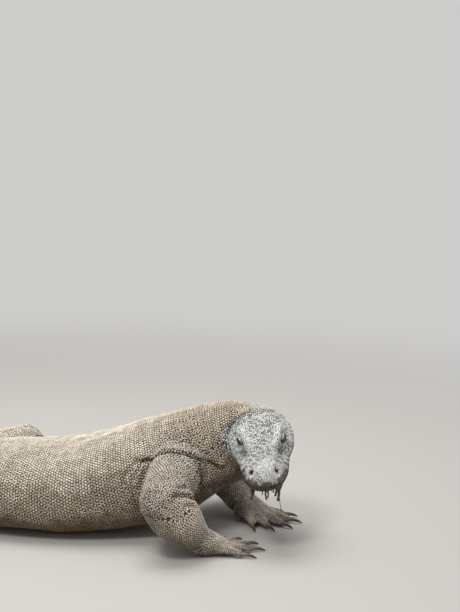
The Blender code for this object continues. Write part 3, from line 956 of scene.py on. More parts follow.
@dataclass
class Face:
    """The forms of the head: brows, lids, lips, nostrils, ears and the skull's edge."""

    body: Body
    eye_radius: float = 0.0115
    lid: float = 0.0013
    lid_edge: float = 0.0007
    lid_crease: float = 0.0006
    slit_half_length: float = math.radians(47)
    slit_half_height: float = math.radians(25)
    slit_middle: float = 0.10
    gaze: Place = (0.42, 0.88, 0.16)
    slit: Place = (0.94, 0, -0.34)
    brow: float = 0.0026
    brow_inner: float = 0.0125
    brow_outer: float = 0.0042
    bridge: tuple[Place, ...] = (BROW[-1], (0.125, 0.0265, 0.0270), (0.150, 0.0235, 0.0240))
    nostril_slant: Place = (0.75, 0.25, -0.50)

    def eye_centre(self, side: int) -> Array:
        """The middle of one eyeball."""
        return self.body.on_head(EYE[0], side * EYE[1], EYE[2])

    def eye_axes(self, side: int) -> Array:
        """An eye's axes: along its slit, up across it, and out through the pupil."""
        ahead, out, up = self.gaze
        gaze = unit(np.array((ahead, side * out, up)) @ self.body.head_axes)
        slit = np.array(self.slit) @ self.body.head_axes
        slit = unit(slit - (slit @ gaze) * gaze)
        over = unit(np.array((0, 0, 1.0)) @ self.body.head_axes)
        over = over - (over @ gaze) * gaze - (over @ slit) * slit
        return np.array([slit, unit(over), gaze])

    def opening(self, ball: Array) -> Array:
        """How far, in radians, directions lie inside the slit between the lids.

        Args:
            ball: directions on the eye's axes.

        Returns:
            One angle for each, negative outside the slit.
        """
        across, over = np.arcsin(ball[:, 0]), np.arcsin(ball[:, 1])
        share = np.clip(1 - (across / self.slit_half_length) ** 2, -1, 1)
        height = np.where(over > self.slit_middle, 0.62, 1.0) * self.slit_half_height
        return height * share - np.abs(over - self.slit_middle)

    def shape_lids(self, sculptor: Sculptor) -> None:
        """Wraps the skin round each eyeball and opens the slit.

        Args:
            sculptor: holds the places that move.
        """
        radius = self.eye_radius
        for side in SIDES:
            centre = self.eye_centre(side)
            offset = sculptor.co - centre
            distance = lengths(offset)
            near = np.flatnonzero(distance < 2.4 * radius)
            outward = unit(offset[near])
            local = outward @ self.eye_axes(side).T
            angle = np.arccos(np.clip(local[:, 2], -1, 1))
            opening = self.opening(local)
            shell = radius + self.lid + self.lid_edge * bell(opening + 0.10, 0.09)
            shell -= self.lid_crease * bell(opening + 0.32, 0.07)
            shell = np.where(opening > 0, radius - 0.0016 * ramp(opening, 0, 0.09), shell)
            hold = ramp(-angle, -1.35, -0.95) * ramp(-distance[near], -2.0 * radius, -1.5 * radius)
            hold = np.maximum(hold, (opening > -0.12) & (angle < 1.2))
            target = centre + outward * shell[:, None]
            sculptor.co[near] += (target - sculptor.co[near]) * hold[:, None]

    def shape_forms(self, sculptor: Sculptor) -> None:
        """Models the skull's forms, the lips, the nostrils and the ears.

        Args:
            sculptor: holds the places that move.
        """
        local = self.body.in_head(sculptor.co)
        near = np.flatnonzero(boxed(local, (0.08, 0, 0), (0.14, 0.09, 0.07)))
        normals = sculptor.normals[near]
        both = folded(local[near])
        rise = np.zeros(len(near))
        for hollow in HOLLOWS:
            rise -= hollow.depth * puff(both, hollow.at, hollow.reach)
        distance, where, place = nearest_on(BROW_LINE, both)
        width = np.where(both[:, 1] < place[:, 1], self.brow_inner, self.brow_outer)
        rise += self.brow * bell(distance, width) * ramp(where, 0, 5) * ramp(15.0 - where, 0, 4)
        distance, _, _ = nearest_on(np.array(self.bridge), both)
        rise += 0.0014 * bell(distance, 0.0050)
        rise += 0.0045 * puff(local[near], LEFT_LIP, (0.034, 0.018, 0.013))
        rise += self.lips(both, normals @ self.body.head_axes[2])
        rise += self.nostrils(both)
        rise += self.ear(both)
        sculptor.co[near] += normals * rise[:, None]

    def lips(self, both: Array, facing: Array) -> Array:
        """The closed mouth's groove between a full upper and a thinner lower lip.

        Args:
            both: places folded onto the head's left.
            facing: how far the skin faces up.

        Returns:
            How far the skin rises at each.
        """
        along, _, up = both.T
        reach = ramp(along, 0.004, 0.030) * ramp(1 - np.abs(facing), 0.15, 0.45)
        height = up - lip_height(along)
        groove = -0.0026 * bell(height, 0.0017)
        upper = 0.0016 * bell(height - 0.0058, 0.0036)
        lower = 0.0012 * bell(height + 0.0056, 0.0034)
        return (groove + upper + lower) * reach

    def nostrils(self, both: Array) -> Array:
        """A slanting oval nostril each side, with a swollen rim.

        Args:
            both: places folded onto the head's left.

        Returns:
            How far the skin rises at each.
        """
        offset = both - NOSTRIL
        slant = unit(np.array(self.nostril_slant))
        long_way = offset @ slant
        rest = lengths(offset - long_way[:, None] * slant)
        distance = np.sqrt((long_way / 1.7) ** 2 + rest**2)
        return 0.0020 * bell(distance - 0.0082, 0.0030) - 0.0095 * bell(distance, 0.0047)

    def ear(self, both: Array) -> Array:
        """The ear's sunken oval, behind the jaw's corner."""
        distance = reaches(both, EAR, EAR_REACH)
        return 0.0014 * bell(distance - 1.20, 0.35) - 0.0050 * bell(distance, 0.80)


# -------------------- the skin


@dataclass
class Skin:
    """One skin over the whole body, inside the solids by the scales' depth."""

    body: Body
    face: Face
    nodes: list[str]
    voxel: float = 0.0026
    fatten: float = 0.0004
    inset: float = 0.0012
    lowest: float = 0.0009
    triangles: int = 188_000
    name: str = "skin"

    def raw(self) -> Object:
        """The flesh solids as one even, closed mesh, with a full ball in each eye's socket."""
        mesh = joined_copy(self.nodes, self.fatten)
        with editing(mesh) as bm:
            for side in SIDES:
                place = Matrix.Translation(Vector(self.face.eye_centre(side)))
                radius = self.face.eye_radius + 0.0009
                bmesh.ops.create_uvsphere(
                    bm, u_segments=32, v_segments=16, radius=radius, matrix=place
                )
        obj = add_object("even", mesh)
        remesh = obj.modifiers.new("even", "REMESH")
        remesh.mode = "VOXEL"
        remesh.voxel_size = self.voxel
        remesh.adaptivity = 0
        return add_object(self.name, evaluated(obj))

    def smoothed(self, obj: Object) -> None:
        """Takes the solids' facets out of the skin and sinks it by the scales' depth.

        Args:
            obj: the even skin, which is changed.
        """
        co, _ = mesh_arrays(obj.data)
        table = neighbour_table(obj.data)
        fine = bell(lengths(co - self.body.on_head(0.10, 0, 0)), 0.085)
        for plan in LIMBS.values():
            centre = np.array(plan.ankle) + self.body.shift + level(plan.heading) * 0.07
            fine = np.maximum(fine, bell(lengths(co - centre), 0.075))
        thin_tail = ramp(-co[:, 0], 0.55, 0.95)
        co = relax(co, table, 1 - 0.70 * fine, 14, 0.98)
        co = relax(co, table, np.clip(1 - 1.6 * fine, 0, 1) * (1 - 0.7 * thin_tail), 48, 0.80)
        co = relax(co, table, np.full(len(co), 0.6), 3, 0.9)
        set_places(obj.data, co)
        co, normals = mesh_arrays(obj.data)
        set_places(obj.data, co - normals * (self.inset * (1 - 0.45 * fine))[:, None])

    def refine(self, obj: Object, centre: Array, reach: float) -> None:
        """Splits the faces near a place in four.

        Args:
            obj: the skin, which is changed.
            centre: the place.
            reach: how near a face's middle is.
        """
        middle = Vector(centre)
        with editing(obj.data) as bm:
            near = (f for f in bm.faces if (f.calc_center_median() - middle).length < reach)
            edges = list(dict.fromkeys(e for f in near for e in f.edges))
            bmesh.ops.subdivide_edges(bm, edges=edges, cuts=1, use_grid_fill=True, smooth=0.0)
            bmesh.ops.triangulate(bm, faces=[f for f in bm.faces if len(f.verts) > 4])

    def soften(self, obj: Object, centre: Array, reach: float, rounds: int) -> None:
        """Smooths the skin out to a reach from a place."""
        co, _ = mesh_arrays(obj.data)
        near = ramp(-lengths(co - centre), -reach, -0.8 * reach)
        set_places(obj.data, relax(co, neighbour_table(obj.data), near, rounds, 0.95))

    def build(self) -> Object:
        """Makes the full skin, folded and with its face."""
        obj = self.raw()
        LOG.info("even skin: %d faces", len(obj.data.polygons))
        self.smoothed(obj)
        sculptor = Sculptor(self.body, obj)
        sculptor.lumps()
        sculptor.commit()
        for fold in FOLDS:
            sculptor.fold(fold)
        sculptor.commit()
        for seed, patch in enumerate(WRINKLE_PATCHES):
            sculptor.wrinkle(patch, 100 + seed)
        sculptor.commit()
        self.shape_head(obj)
        keep_above(obj.data, self.lowest)
        smooth_shaded(obj.data)
        LOG.info("shaped skin: %d faces", len(obj.data.polygons))
        return obj

    def shape_head(self, obj: Object) -> None:
        """Splits the head finely and models the face.

        Args:
            obj: the skin, which is changed.
        """
        middle = self.body.on_head(0.088, 0, -0.002)
        self.refine(obj, middle, 0.116)
        self.soften(obj, middle, 0.112, 4)
        sculptor = Sculptor(self.body, obj)
        self.face.shape_forms(sculptor)
        for fold in HEAD_FOLDS:
            sculptor.fold(fold)
        sculptor.commit()
        for side in SIDES:
            self.refine(obj, self.face.eye_centre(side), 0.0195)
            self.refine(obj, self.body.on_head(0.164, side * 0.0275, 0.019), 0.010)
        self.soften(obj, middle, 0.112, 1)
        sculptor = Sculptor(self.body, obj)
        self.face.shape_lids(sculptor)
        sculptor.commit()

    def thinned(self, obj: Object) -> Mesh:
        """A lighter copy of the finished skin, its face kept in full, for the model itself.

        Args:
            obj: the full skin.

        Returns:
            The lighter mesh.
        """
        copy = add_object("thinned", obj.data.copy())
        co, _ = mesh_arrays(copy.data)
        face = boxed(self.body.in_head(co), (0.085, 0, 0), (0.125, 0.085, 0.065))
        group = copy.vertex_groups.new(name="thin")
        group.add([int(i) for i in np.flatnonzero(~face)], 1.0, "REPLACE")
        total = sum(len(p.vertices) - 2 for p in copy.data.polygons)
        thin = copy.modifiers.new("thin", "DECIMATE")
        thin.ratio = self.triangles / total
        thin.vertex_group = group.name
        thin.use_collapse_triangulate = True
        return evaluated(copy)

    def finish(self, obj: Object, markings_and_shade: "MarkingsAndShade", finish: Material) -> Object:
        """Thins the full skin, paints it and puts it in place of the flesh solids.

        Args:
            obj: the full skin, which is removed.
            markings_and_shade: the hide's colours.
            finish: the hide's material.

        Returns:
            The model's own skin.
        """
        mesh = self.thinned(obj)
        bpy.data.objects.remove(obj, do_unlink=True)
        smooth_shaded(mesh)
        co, normals = mesh_arrays(mesh)
        tones = markings_and_shade.tones(co, normals, np.full(len(co), 0.5))
        put_attribute(mesh, "tone", "FLOAT_COLOR", tones)
        mesh.materials.clear()
        mesh.materials.append(finish)
        made = add_object(self.name, mesh)
        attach(made, ROOT_BODY)
        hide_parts(*self.nodes)
        return made


# -------------------- the hide's colours, with painted light and painted shade


class Tone(Enum):
    """The hide's colours, linear light."""

    # painted light: the top of the back, lit from above
    BACK = (0.470, 0.420, 0.344)
    NECK = (0.400, 0.340, 0.262)
    FLANK = (0.330, 0.275, 0.210)
    # the belly's dirt and painted shade under the body
    BELLY = (0.180, 0.124, 0.080)
    LIMB = (0.300, 0.272, 0.234)
    SHADE = (0.165, 0.136, 0.105)
    DUST = (0.480, 0.420, 0.340)
    HEAD = (0.545, 0.563, 0.538)
    SPECKLE = (0.120, 0.122, 0.118)
    BROW = (0.800, 0.805, 0.770)
    # painted shade on the sides of the head
    CHEEK = (0.330, 0.325, 0.296)
    # painted shade in the hollows in front of the eyes, round the eyes and in the ears
    HOLLOW = (0.080, 0.081, 0.081)
    # painted shade under the neck and under the head
    THROAT = (0.130, 0.102, 0.075)
    MUD = (0.070, 0.047, 0.032)
    # painted shade inside the nostrils
    PIT = (0.020, 0.015, 0.012)


def mixed(low: Tone | Array, high: Tone | Array, share: Array) -> Array:
    """Two colours, or rows of colour, blended by a share for each row."""
    low, high = (np.array(c.value) if isinstance(c, Tone) else c for c in (low, high))
    return low + (high - low) * share[:, None]


@dataclass
class MarkingsAndShade:
    """The hide's colour at any place, with painted light and shade, alike for skin and the scales
    over it.
    """

    body: Body
    sun: float = 1.15
    sunned_leg: float = 0.90
    sunned_arm: float = 0.30
    elbow: Place = (-0.085, -0.185, 0.095)  # the bare bend of the right arm, in the maker's frame
    elbow_reach: Place = (0.06, 0.06, 0.045)
    spot_strength: float = 0.42  # how far one scale's tone differs from the next

    def tones(self, points: Array, normals: Array, draw: Array) -> Array:
        """The colour, with its painted light and shade, and the wetness at places.

        Args:
            points: places.
            normals: the skin's there.
            draw: a random share for each, 0.5 where there is no scale.

        Returns:
            Red, green, blue and wetness rows.
        """
        owner, metres, _ = self.body.owners(points)
        groups = self.body.groups[owner]
        lift = normals[:, 2] + 0.16 * drift(points, 0.06, 11) + 0.08 * drift(points, 0.016, 12)
        # painted shade where the skin faces down and painted light where it faces up
        tone = mixed(Tone.BELLY, Tone.FLANK, ramp(lift, -0.80, -0.10))
        tone = mixed(tone, Tone.BACK, ramp(lift, 0.10, 0.85))
        ahead = np.where(groups == "trunk", metres / self.body.spines[0].length, 0.0)
        # the neck, with painted shade under the throat
        neck = mixed(Tone.THROAT, Tone.NECK, ramp(lift, -0.65, 0.15))
        tone = mixed(tone, neck, ramp(ahead, 0.66, 0.86))
        limb = np.isin(groups, list(LIMBS)).astype(float)
        hind = np.char.startswith(groups, "hind")
        sunned = np.where(hind, self.sunned_leg, self.sunned_arm) * ramp(lift, 0.15, 0.80)
        shaded = mixed(Tone.SHADE, Tone.LIMB, ramp(lift, -0.75, 0.15))
        tone = mixed(tone, mixed(shaded, np.array(Tone.BACK.value) * self.sun, sunned), limb)
        foot = limb * ramp(-points[:, 2], -0.050, -0.022) * ramp(lift, -0.3, 0.5)
        tone = mixed(tone, Tone.DUST, 0.30 * foot)
        away = reaches(points - self.body.shift, self.elbow, self.elbow_reach)
        bare_arm = limb * bell(away, 1.0)
        tone = mixed(tone, Tone.DUST, 0.75 * bare_arm) * (1 + 0.22 * bare_arm)[:, None]
        low = ramp(-points[:, 2], -0.085, -0.020)
        dirt = low * (1 - limb) * ramp(drift(points, 0.05, 13), -0.6, 0.7)
        tone = mixed(tone, Tone.BELLY, 0.55 * dirt)
        uneven = 1 + 0.10 * drift(points, 0.030, 14) + self.spot_strength * (draw - 0.5)
        tone *= uneven[:, None]
        wet = np.zeros(len(points))
        self.paint_head(points, normals, draw, tone, wet)
        return np.column_stack([np.clip(tone, 0.004, 0.85), wet])

    def head_share(self, points: Array, local: Array, facing: Array) -> Array:
        """How far places wear the head's colour and not the neck's.

        Args:
            points: places.
            local: the same, in the head's frame.
            facing: how far the skin faces the head's top.

        Returns:
            One share for each place.
        """
        along, out, up = local.T
        wander = 0.016 * drift(points, 0.018, 21)
        share = ramp(along + wander, -0.020, 0.014)
        outside, _, _ = self.body.spines[2].locate(points)
        crown = 0.55 * ramp(up, 0.016, 0.028) * ramp(along, 0.010, 0.030)
        share *= ramp(crown - outside, -1.34, -1.10)
        nape = ramp(facing, 0.50, 0.95) * ramp(out + wander, -0.040, 0.015)
        nape = nape * ramp(along + 1.5 * wander, -0.075, -0.020)
        return np.maximum(share, 0.75 * nape)

    def paint_head(
        self, points: Array, normals: Array, draw: Array, tone: Array, wet: Array
    ) -> None:
        """Colours the head, with painted shade on its sides, in its hollows and creases, blending
        into the neck behind it.

        Args:
            points: places.
            normals: the skin's there.
            draw: a random share for each.
            tone: the colours, which are changed.
            wet: the wetness, which is changed.
        """
        local = self.body.in_head(points)
        inside = np.flatnonzero(boxed(local, (0.065, 0, 0), (0.155, 0.09, 0.085)))
        points, local, draw = points[inside], local[inside], draw[inside]
        along, _, up = local.T
        both = folded(local)
        facing = normals[inside] @ self.body.head_axes[2]
        share = self.head_share(points, local, facing)
        # the head's own pale tone on top, painted shade down its sides and under it
        coat = mixed(Tone.CHEEK, Tone.HEAD, ramp(facing, -0.25, 0.45))
        coat = mixed(Tone.THROAT, coat, ramp(facing, -0.85, -0.30))
        mottle = 0.5 + 0.5 * drift(points, 0.0095, 22)
        coat = mixed(coat, Tone.SPECKLE, 0.78 * ramp(0.62 * draw + 0.52 * mottle, 0.58, 0.74))
        coat *= (1 - 0.20 * ramp(drift(points, 0.026, 24), -0.2, 0.9))[:, None]
        brow, where, _ = nearest_on(BROW_LINE, both)
        brow = 0.92 * bell(brow, 0.0095) * ramp(where, 0, 4) * (0.45 + 0.55 * draw)
        pale = bell(reaches(both, (0.150, 0.0, 0.028), (0.020, 0.016, 0.02)), 1.0)
        # painted shade in the hollow in front of the eye and round the eye's socket
        hollow = bell(reaches(both, (0.102, 0.040, 0.0175), (0.013, 0.016, 0.0080)), 1.0)
        eye = lengths(both - EYE)
        socket = ramp(-eye, -0.0180, -0.0135) * ramp(-facing, -0.80, -0.35)
        edge = 0.0060 + 0.0035 * drift(points, 0.014, 23) + 0.006 * ramp(along, 0.11, 0.17)
        mud = ramp(edge - (up - lip_height(along)), -0.004, 0.004)
        mud = mud * ramp(along, 0.060, 0.120) * ramp(facing, -1.2, -0.9)
        nostril = both - NOSTRIL
        inward = unit(np.array((0.15, 0.60, 0.78)))
        nostril = lengths(nostril - np.minimum(nostril @ inward, 0.0)[:, None] * inward)
        for layer, strength in (
            (Tone.BROW, brow),
            (Tone.BROW, 0.55 * pale),
            (Tone.HOLLOW, 0.92 * hollow),
            (Tone.HOLLOW, 0.80 * socket),
            (Tone.MUD, 0.93 * mud),
            (Tone.BROW, 0.5 * bell(nostril - 0.0095, 0.0030)),
            # painted shade inside the nostril
            (Tone.PIT, bell(nostril, 0.0062)),
            # painted shade in the ear's hollow
            (Tone.HOLLOW, ramp(-reaches(both, EAR, EAR_REACH), -1.05, -0.75)),
        ):
            coat = mixed(coat, layer, strength)
        tone[inside] = mixed(tone[inside], coat, share)
        # painted shade along the folds at the skull's edge behind the jaw
        for fold in HEAD_FOLDS:
            away, where, _ = nearest_on(smooth_rows(np.array(fold.path), 4), local)
            ends = ramp(where, 0, 5) * ramp(4 * len(fold.path) - 4 - where, 0, 5)
            tone[inside] *= (1 - 0.72 * bell(away, 0.0052) * ends)[:, None]
        wet[inside] = np.maximum(wet[inside], 0.9 * mud * share + 0.5 * bell(eye, 0.0125))


# -------------------- the scales


@dataclass
class Roots:
    """Where scales stand: their places, outward and pointing directions, and widths."""

    place: Array
    out: Array
    along: Array
    spacing: Array

    def __len__(self) -> int:
        """How many scales."""
        return len(self.place)

    @staticmethod
    def joined(parts: list["Roots"]) -> "Roots":
        """Several sets as one."""
        keys = ("place", "out", "along", "spacing")
        return Roots(*(np.concatenate([getattr(part, key) for part in parts]) for key in keys))

    def only(self, keep: Array) -> "Roots":
        """The rows picked by a mask or by numbers."""
        return Roots(self.place[keep], self.out[keep], self.along[keep], self.spacing[keep])

    def tree(self) -> KDTree:
        """A tree for finding the nearest roots."""
        tree = KDTree(len(self))
        for i, place in enumerate(self.place.tolist()):
            tree.insert(place, i)
        tree.balance()
        return tree


class Crowd:
    """A grid of cells that says whether a new root would stand too near to another."""

    CELL = 0.008

    def __init__(self) -> None:
        """Starts empty."""
        self.cells: dict[tuple[int, int, int], list[Place]] = {}

    def take(self, place: Place, apart: float) -> bool:
        """Adds a place if nothing stands within a distance of it.

        Args:
            place: the new place.
            apart: the least distance, up to a cell.

        Returns:
            Whether the place was added.
        """
        x, y, z = place
        i, j, k = int(x // self.CELL), int(y // self.CELL), int(z // self.CELL)
        limit = apart * apart
        for di, dj, dk in product((-1, 0, 1), repeat=3):
            for a, b, c in self.cells.get((i + di, j + dj, k + dk), ()):
                if (a - x) ** 2 + (b - y) ** 2 + (c - z) ** 2 < limit:
                    return False
        self.cells.setdefault((i, j, k), []).append((x, y, z))
        return True

    def thin(self, roots: Roots, share: float) -> Roots:
        """The roots that find room, in their order, each keeping a share of its spacing free."""
        places, apart = roots.place.tolist(), (roots.spacing * share).tolist()
        keep = [self.take(place, gap) for place, gap in zip(places, apart)]
        return roots.only(np.flatnonzero(keep))


@dataclass
class Planter:
    """Chooses the root of every scale: rings round the body and limbs, granules over the head."""

    body: Body
    skin: Object
    face: Face
    rays: int = 44
    ring_step: int = 4
    row_share: float = 0.87  # from one ring to the next, in widths
    lip_rows: tuple[tuple[float, float], ...] = ((0.0034, 0.0044), (-0.0036, 0.0046))
    head_tries: int = 110_000
    filler_tries: int = 230_000
    fillings: tuple[tuple[float, float], ...] = ((0.95, 0.84), (0.76, 0.70), (0.58, 0.54))

    def __post_init__(self) -> None:
        """Takes the fine skin's surface and starts the random draws."""
        self.surface = surface_of(self.skin)
        self.draw = np.random.default_rng(SEED)

    def outline(self, sizes: Array, side: Array, up: Array) -> Array:
        """The skin's outline round one station of a part.

        Args:
            sizes: its row of place and sizes.
            side: the way to its right.
            up: the way up.

        Returns:
            Its corners, the first one again at the end.
        """
        corners = []
        for k in range(self.rays):
            angle = 2 * math.pi * k / self.rays - math.pi / 2
            reach = sizes[3] * math.cos(angle) * side + sizes[4] * math.sin(angle) * up
            far = float(np.linalg.norm(reach))
            hit = self.surface.ray_cast(Vector(sizes[:3]), Vector(reach / far), 1.5 * far)
            distance = hit[3] if hit[0] is not None and hit[3] > 0.55 * far else far
            corners.append(sizes[:3] + reach / far * distance)
        return np.array(corners + corners[:1])

    def ring(self, spine: Spine, metres: float, shifted: bool) -> tuple[Array, Array]:
        """Even places round the body at one station.

        Args:
            spine: the part.
            metres: how far along it.
            shifted: whether it is turned by half a scale.

        Returns:
            The places, and the way their scales point.
        """
        where = spine.row_at(np.array([metres]))
        forward, side, up = (axis[0] for axis in spine.axes(where))
        corners = self.outline(spine.sizes_at(where)[0], side, up)
        step = self.ring_step if spine.rows[:, 3].max() > 0.02 else 1
        run = run_of(corners)
        count = max(6, int(round(run[-1] / spine.spacing_at(metres) / step)) * step)
        at = (np.arange(count) + (0.5 if shifted else 0.0)) * run[-1] / count
        return between(at, run, corners), np.tile(forward * spine.lie.value, (count, 1))

    def rings(self, index: int, spine: Spine) -> Roots:
        """Every ring of one part, each root dropped where another part owns the skin.

        Args:
            index: the part's number.
            spine: the part.

        Returns:
            The part's roots.
        """
        metres, shifted = 0.0, False
        places, along, spacing = [], [], []
        while metres < spine.length:
            size = spine.spacing_at(metres)
            ring, directions = self.ring(spine, metres, shifted)
            places.append(ring)
            along.append(directions)
            spacing.append(np.full(len(ring), size))
            metres += self.row_share * size
            shifted = not shifted
        roots = self.settled(*(np.concatenate(rows) for rows in (places, along, spacing)))
        owner, _, _ = self.body.owners(roots.place)
        return roots.only(owner == index)

    def settled(self, places: Array, along: Array, spacing: Array) -> Roots:
        """Roots snapped to the skin, dropped where the skin turns away from their places."""
        snapped, out = nearest_skin(self.surface, places)
        near = lengths(snapped - places) < 2.2 * spacing
        return Roots(snapped, out, along, spacing).only(near)

    def scattered(
        self, count: int, centre: Array | None = None, reach: float = 0.0
    ) -> tuple[Array, Array]:
        """Random places spread evenly over the skin.

        Args:
            count: how many.
            centre: where given, only the skin near it.
            reach: how near.

        Returns:
            The places, and the skin's normals there.
        """
        mesh = self.skin.data
        mesh.calc_loop_triangles()
        corners = np.empty(len(mesh.loop_triangles) * 3, np.int32)
        mesh.loop_triangles.foreach_get("vertices", corners)
        co, _ = mesh_arrays(mesh)
        a, b, c = (co[corners.reshape(-1, 3)[:, k]] for k in range(3))
        cross = np.cross(b - a, c - a)
        area = lengths(cross)
        if centre is not None:
            area = area * (lengths((a + b + c) / 3 - centre) < reach)
        pick = self.draw.choice(len(area), count, p=area / area.sum())
        u, v = self.draw.random(count), self.draw.random(count)
        over = u + v > 1
        u[over], v[over] = 1 - u[over], 1 - v[over]
        places = a[pick] + u[:, None] * (b - a)[pick] + v[:, None] * (c - a)[pick]
        return places, unit(cross[pick])

    def pointing(self, owner: Array, metres: Array) -> Array:
        """The way scales point, at metres along the part that owns each."""
        along = np.zeros((len(owner), 3))
        for index, spine in enumerate(self.body.spines):
            mine = owner == index
            if mine.any():
                along[mine] = spine.axes(spine.row_at(metres[mine]))[0] * spine.lie.value
        return along

    def widths(self, owner: Array, metres: Array) -> Array:
        """The widths of scales, at metres along the part that owns each."""
        spines = self.body.spines
        spans = np.array([spine.spacing for spine in spines])[owner]
        share = np.clip(metres / np.array([spine.length for spine in spines])[owner], 0, 1)
        return spans[:, 0] + (spans[:, 1] - spans[:, 0]) * share

    def head_widths(self, points: Array) -> Array:
        """The widths of the head's granules: finest at the eyes, the nostrils and the snout.

        Args:
            points: places on the head.

        Returns:
            One width for each.
        """
        both = folded(self.body.in_head(points))
        along, _, up = both.T
        width = 0.0048 - 0.0010 * ramp(along, 0.000, 0.060) - 0.0007 * ramp(along, 0.10, 0.15)
        width += 0.0010 * ramp(-up, -0.004, 0.020) * ramp(-along, -0.13, -0.06)
        eye, nose = bell(lengths(both - EYE) - 0.011, 0.006), bell(lengths(both - NOSTRIL), 0.0085)
        return width - (width - 0.0022) * np.maximum(eye, 0.8 * nose)

    def bare(self, roots: Roots) -> Array:
        """Whether each root lies where no scale is: slits, nostrils, ears and the mouth's line.

        Args:
            roots: all the roots.

        Returns:
            One answer for each.
        """
        both = folded(self.body.in_head(roots.place))
        none = lengths(both - NOSTRIL) < 0.0052
        groove = np.abs(both[:, 2] - lip_height(both[:, 0])) < 0.0009
        none |= groove & (both[:, 0] > 0.02) & (np.abs(roots.out @ self.body.head_axes[2]) < 0.7)
        for side in SIDES:
            offset = roots.place - self.face.eye_centre(side)
            ball = unit(offset) @ self.face.eye_axes(side).T
            near = (lengths(offset) < 1.6 * self.face.eye_radius) & (ball[:, 2] > 0)
            none |= near & (self.face.opening(ball) > -0.055)
        return none | (reaches(both, EAR, EAR_REACH) < 0.80)

    def lips(self) -> Roots:
        """The larger scales in a row above and in a row below the mouth."""
        parts = []
        ahead, left, up = self.body.head_axes
        for height, size in self.lip_rows:
            corners = []
            for degrees in range(-168, 169, 3):
                angle = math.radians(degrees)
                direction = Vector(math.cos(angle) * ahead + math.sin(angle) * left)
                rise = height + LIP_LINE
                for _ in range(2):
                    origin = Vector(self.body.on_head(0.10, 0, rise))
                    hit = self.surface.ray_cast(origin, direction, 0.12)
                    if hit[0] is None:
                        break
                    along = self.body.in_head(np.array([hit[0]]))[:, 0]
                    rise = float(lip_height(along)[0]) + height
                if hit[0] is not None and along[0] > 0.022:
                    corners.append(hit[0])
            corners = np.array(corners)
            run = run_of(corners)
            at = np.arange(size / 2, run[-1], size)
            outward = np.tile(up * (1 if height > 0 else -1), (len(at), 1))
            parts.append(self.settled(between(at, run, corners), outward, np.full(len(at), size)))
        return Roots.joined(parts)

    def plant(self) -> Roots:
        """Every scale's root over the whole animal."""
        crowd = Crowd()
        parts = [crowd.thin(self.lips(), 0.6)]
        fixed = len(parts[0])
        parts.append(crowd.thin(self.head_granules(), 0.82))
        for index, spine in enumerate(self.body.spines):
            if spine.group != "head":
                parts.append(crowd.thin(self.rings(index, spine), 0.74))
        for size, room in self.fillings:
            laid = self.spread(Roots.joined(parts), fixed)
            LOG.info("scales so far: %d", len(laid))
            crowd = Crowd()
            parts = [crowd.thin(laid, 0.30), crowd.thin(self.fillers(laid, size, room), 0.88)]
        roots = self.spread(Roots.joined(parts), fixed)
        return self.fitted(roots.only(~self.bare(roots)))

    def spread(self, roots: Roots, fixed: int, rounds: int = 2) -> Roots:
        """The roots pushed apart over the skin where they crowd.

        Args:
            roots: all the roots.
            fixed: how many at the start stay.
            rounds: how many times to push.

        Returns:
            The roots at their new places.
        """
        for _ in range(rounds):
            tree = roots.tree()
            found = [tree.find_n(place, 7)[1:] for place in roots.place.tolist()]
            index = np.array([[f[1] for f in row] for row in found])
            away = roots.place[:, None] - roots.place[index]
            gap = np.maximum(np.linalg.norm(away, axis=2), 1e-6)
            rest = 0.49 * (roots.spacing[:, None] + roots.spacing[index])
            push = np.clip(1 - gap / rest, 0, 1) * rest * 0.45 / gap
            move = (away * push[:, :, None]).sum(axis=1)
            long = np.maximum(lengths(move), 1e-9)
            move *= np.minimum(1, 0.35 * roots.spacing / long)[:, None]
            move[:fixed] = 0
            shifted, out = nearest_skin(self.surface, roots.place + move)
            same = (np.sum(out * roots.out, axis=1) > 0.2)[:, None]
            place, out = np.where(same, shifted, roots.place), np.where(same, out, roots.out)
            roots = Roots(place, out, roots.along, roots.spacing)
        return roots

    def fitted(self, roots: Roots) -> Roots:
        """The roots with each spacing drawn towards the real distance of its neighbours."""
        tree = roots.tree()
        near = [tree.find_n(place, 6) for place in roots.place.tolist()]
        around = np.array([sum(found[2] for found in row) / 5 for row in near])
        roots.spacing = np.clip(around, 0.62 * roots.spacing, 1.22 * roots.spacing)
        return roots

    def head_granules(self) -> Roots:
        """Candidates for the head's irregular granules."""
        places, out = self.scattered(self.head_tries, self.body.on_head(0.09, 0, 0), 0.125)
        owner, metres, _ = self.body.owners(places)
        along = self.pointing(owner, metres)
        head = self.body.groups[owner] == "head"
        return Roots(places, out, along, self.head_widths(places)).only(head)

    def fillers(self, laid: Roots, size: float, room: float) -> Roots:
        """Candidates in the gaps between roots.

        Args:
            laid: the roots that stand.
            size: their spacing, as a share of the usual.
            room: how far they stand from those, as a share of it.

        Returns:
            Candidates in random order.
        """
        tree = laid.tree()
        places, out = self.scattered(self.filler_tries)
        gap = np.array([tree.find(place)[2] for place in places.tolist()])
        wide = gap > 0.0017
        places, out, gap = places[wide], out[wide], gap[wide]
        owner, metres, _ = self.body.owners(places)
        head = self.body.groups[owner] == "head"
        spacing = np.where(head, self.head_widths(places), self.widths(owner, metres))
        along = self.pointing(owner, metres)
        return Roots(places, out, along, spacing * size).only(gap > room * spacing)


@dataclass
class CoatPiece:
    """One plain mesh of scales: its name, its roots and where each is on the piece's unwrap."""

    name: str
    roots: Roots
    patch: Array


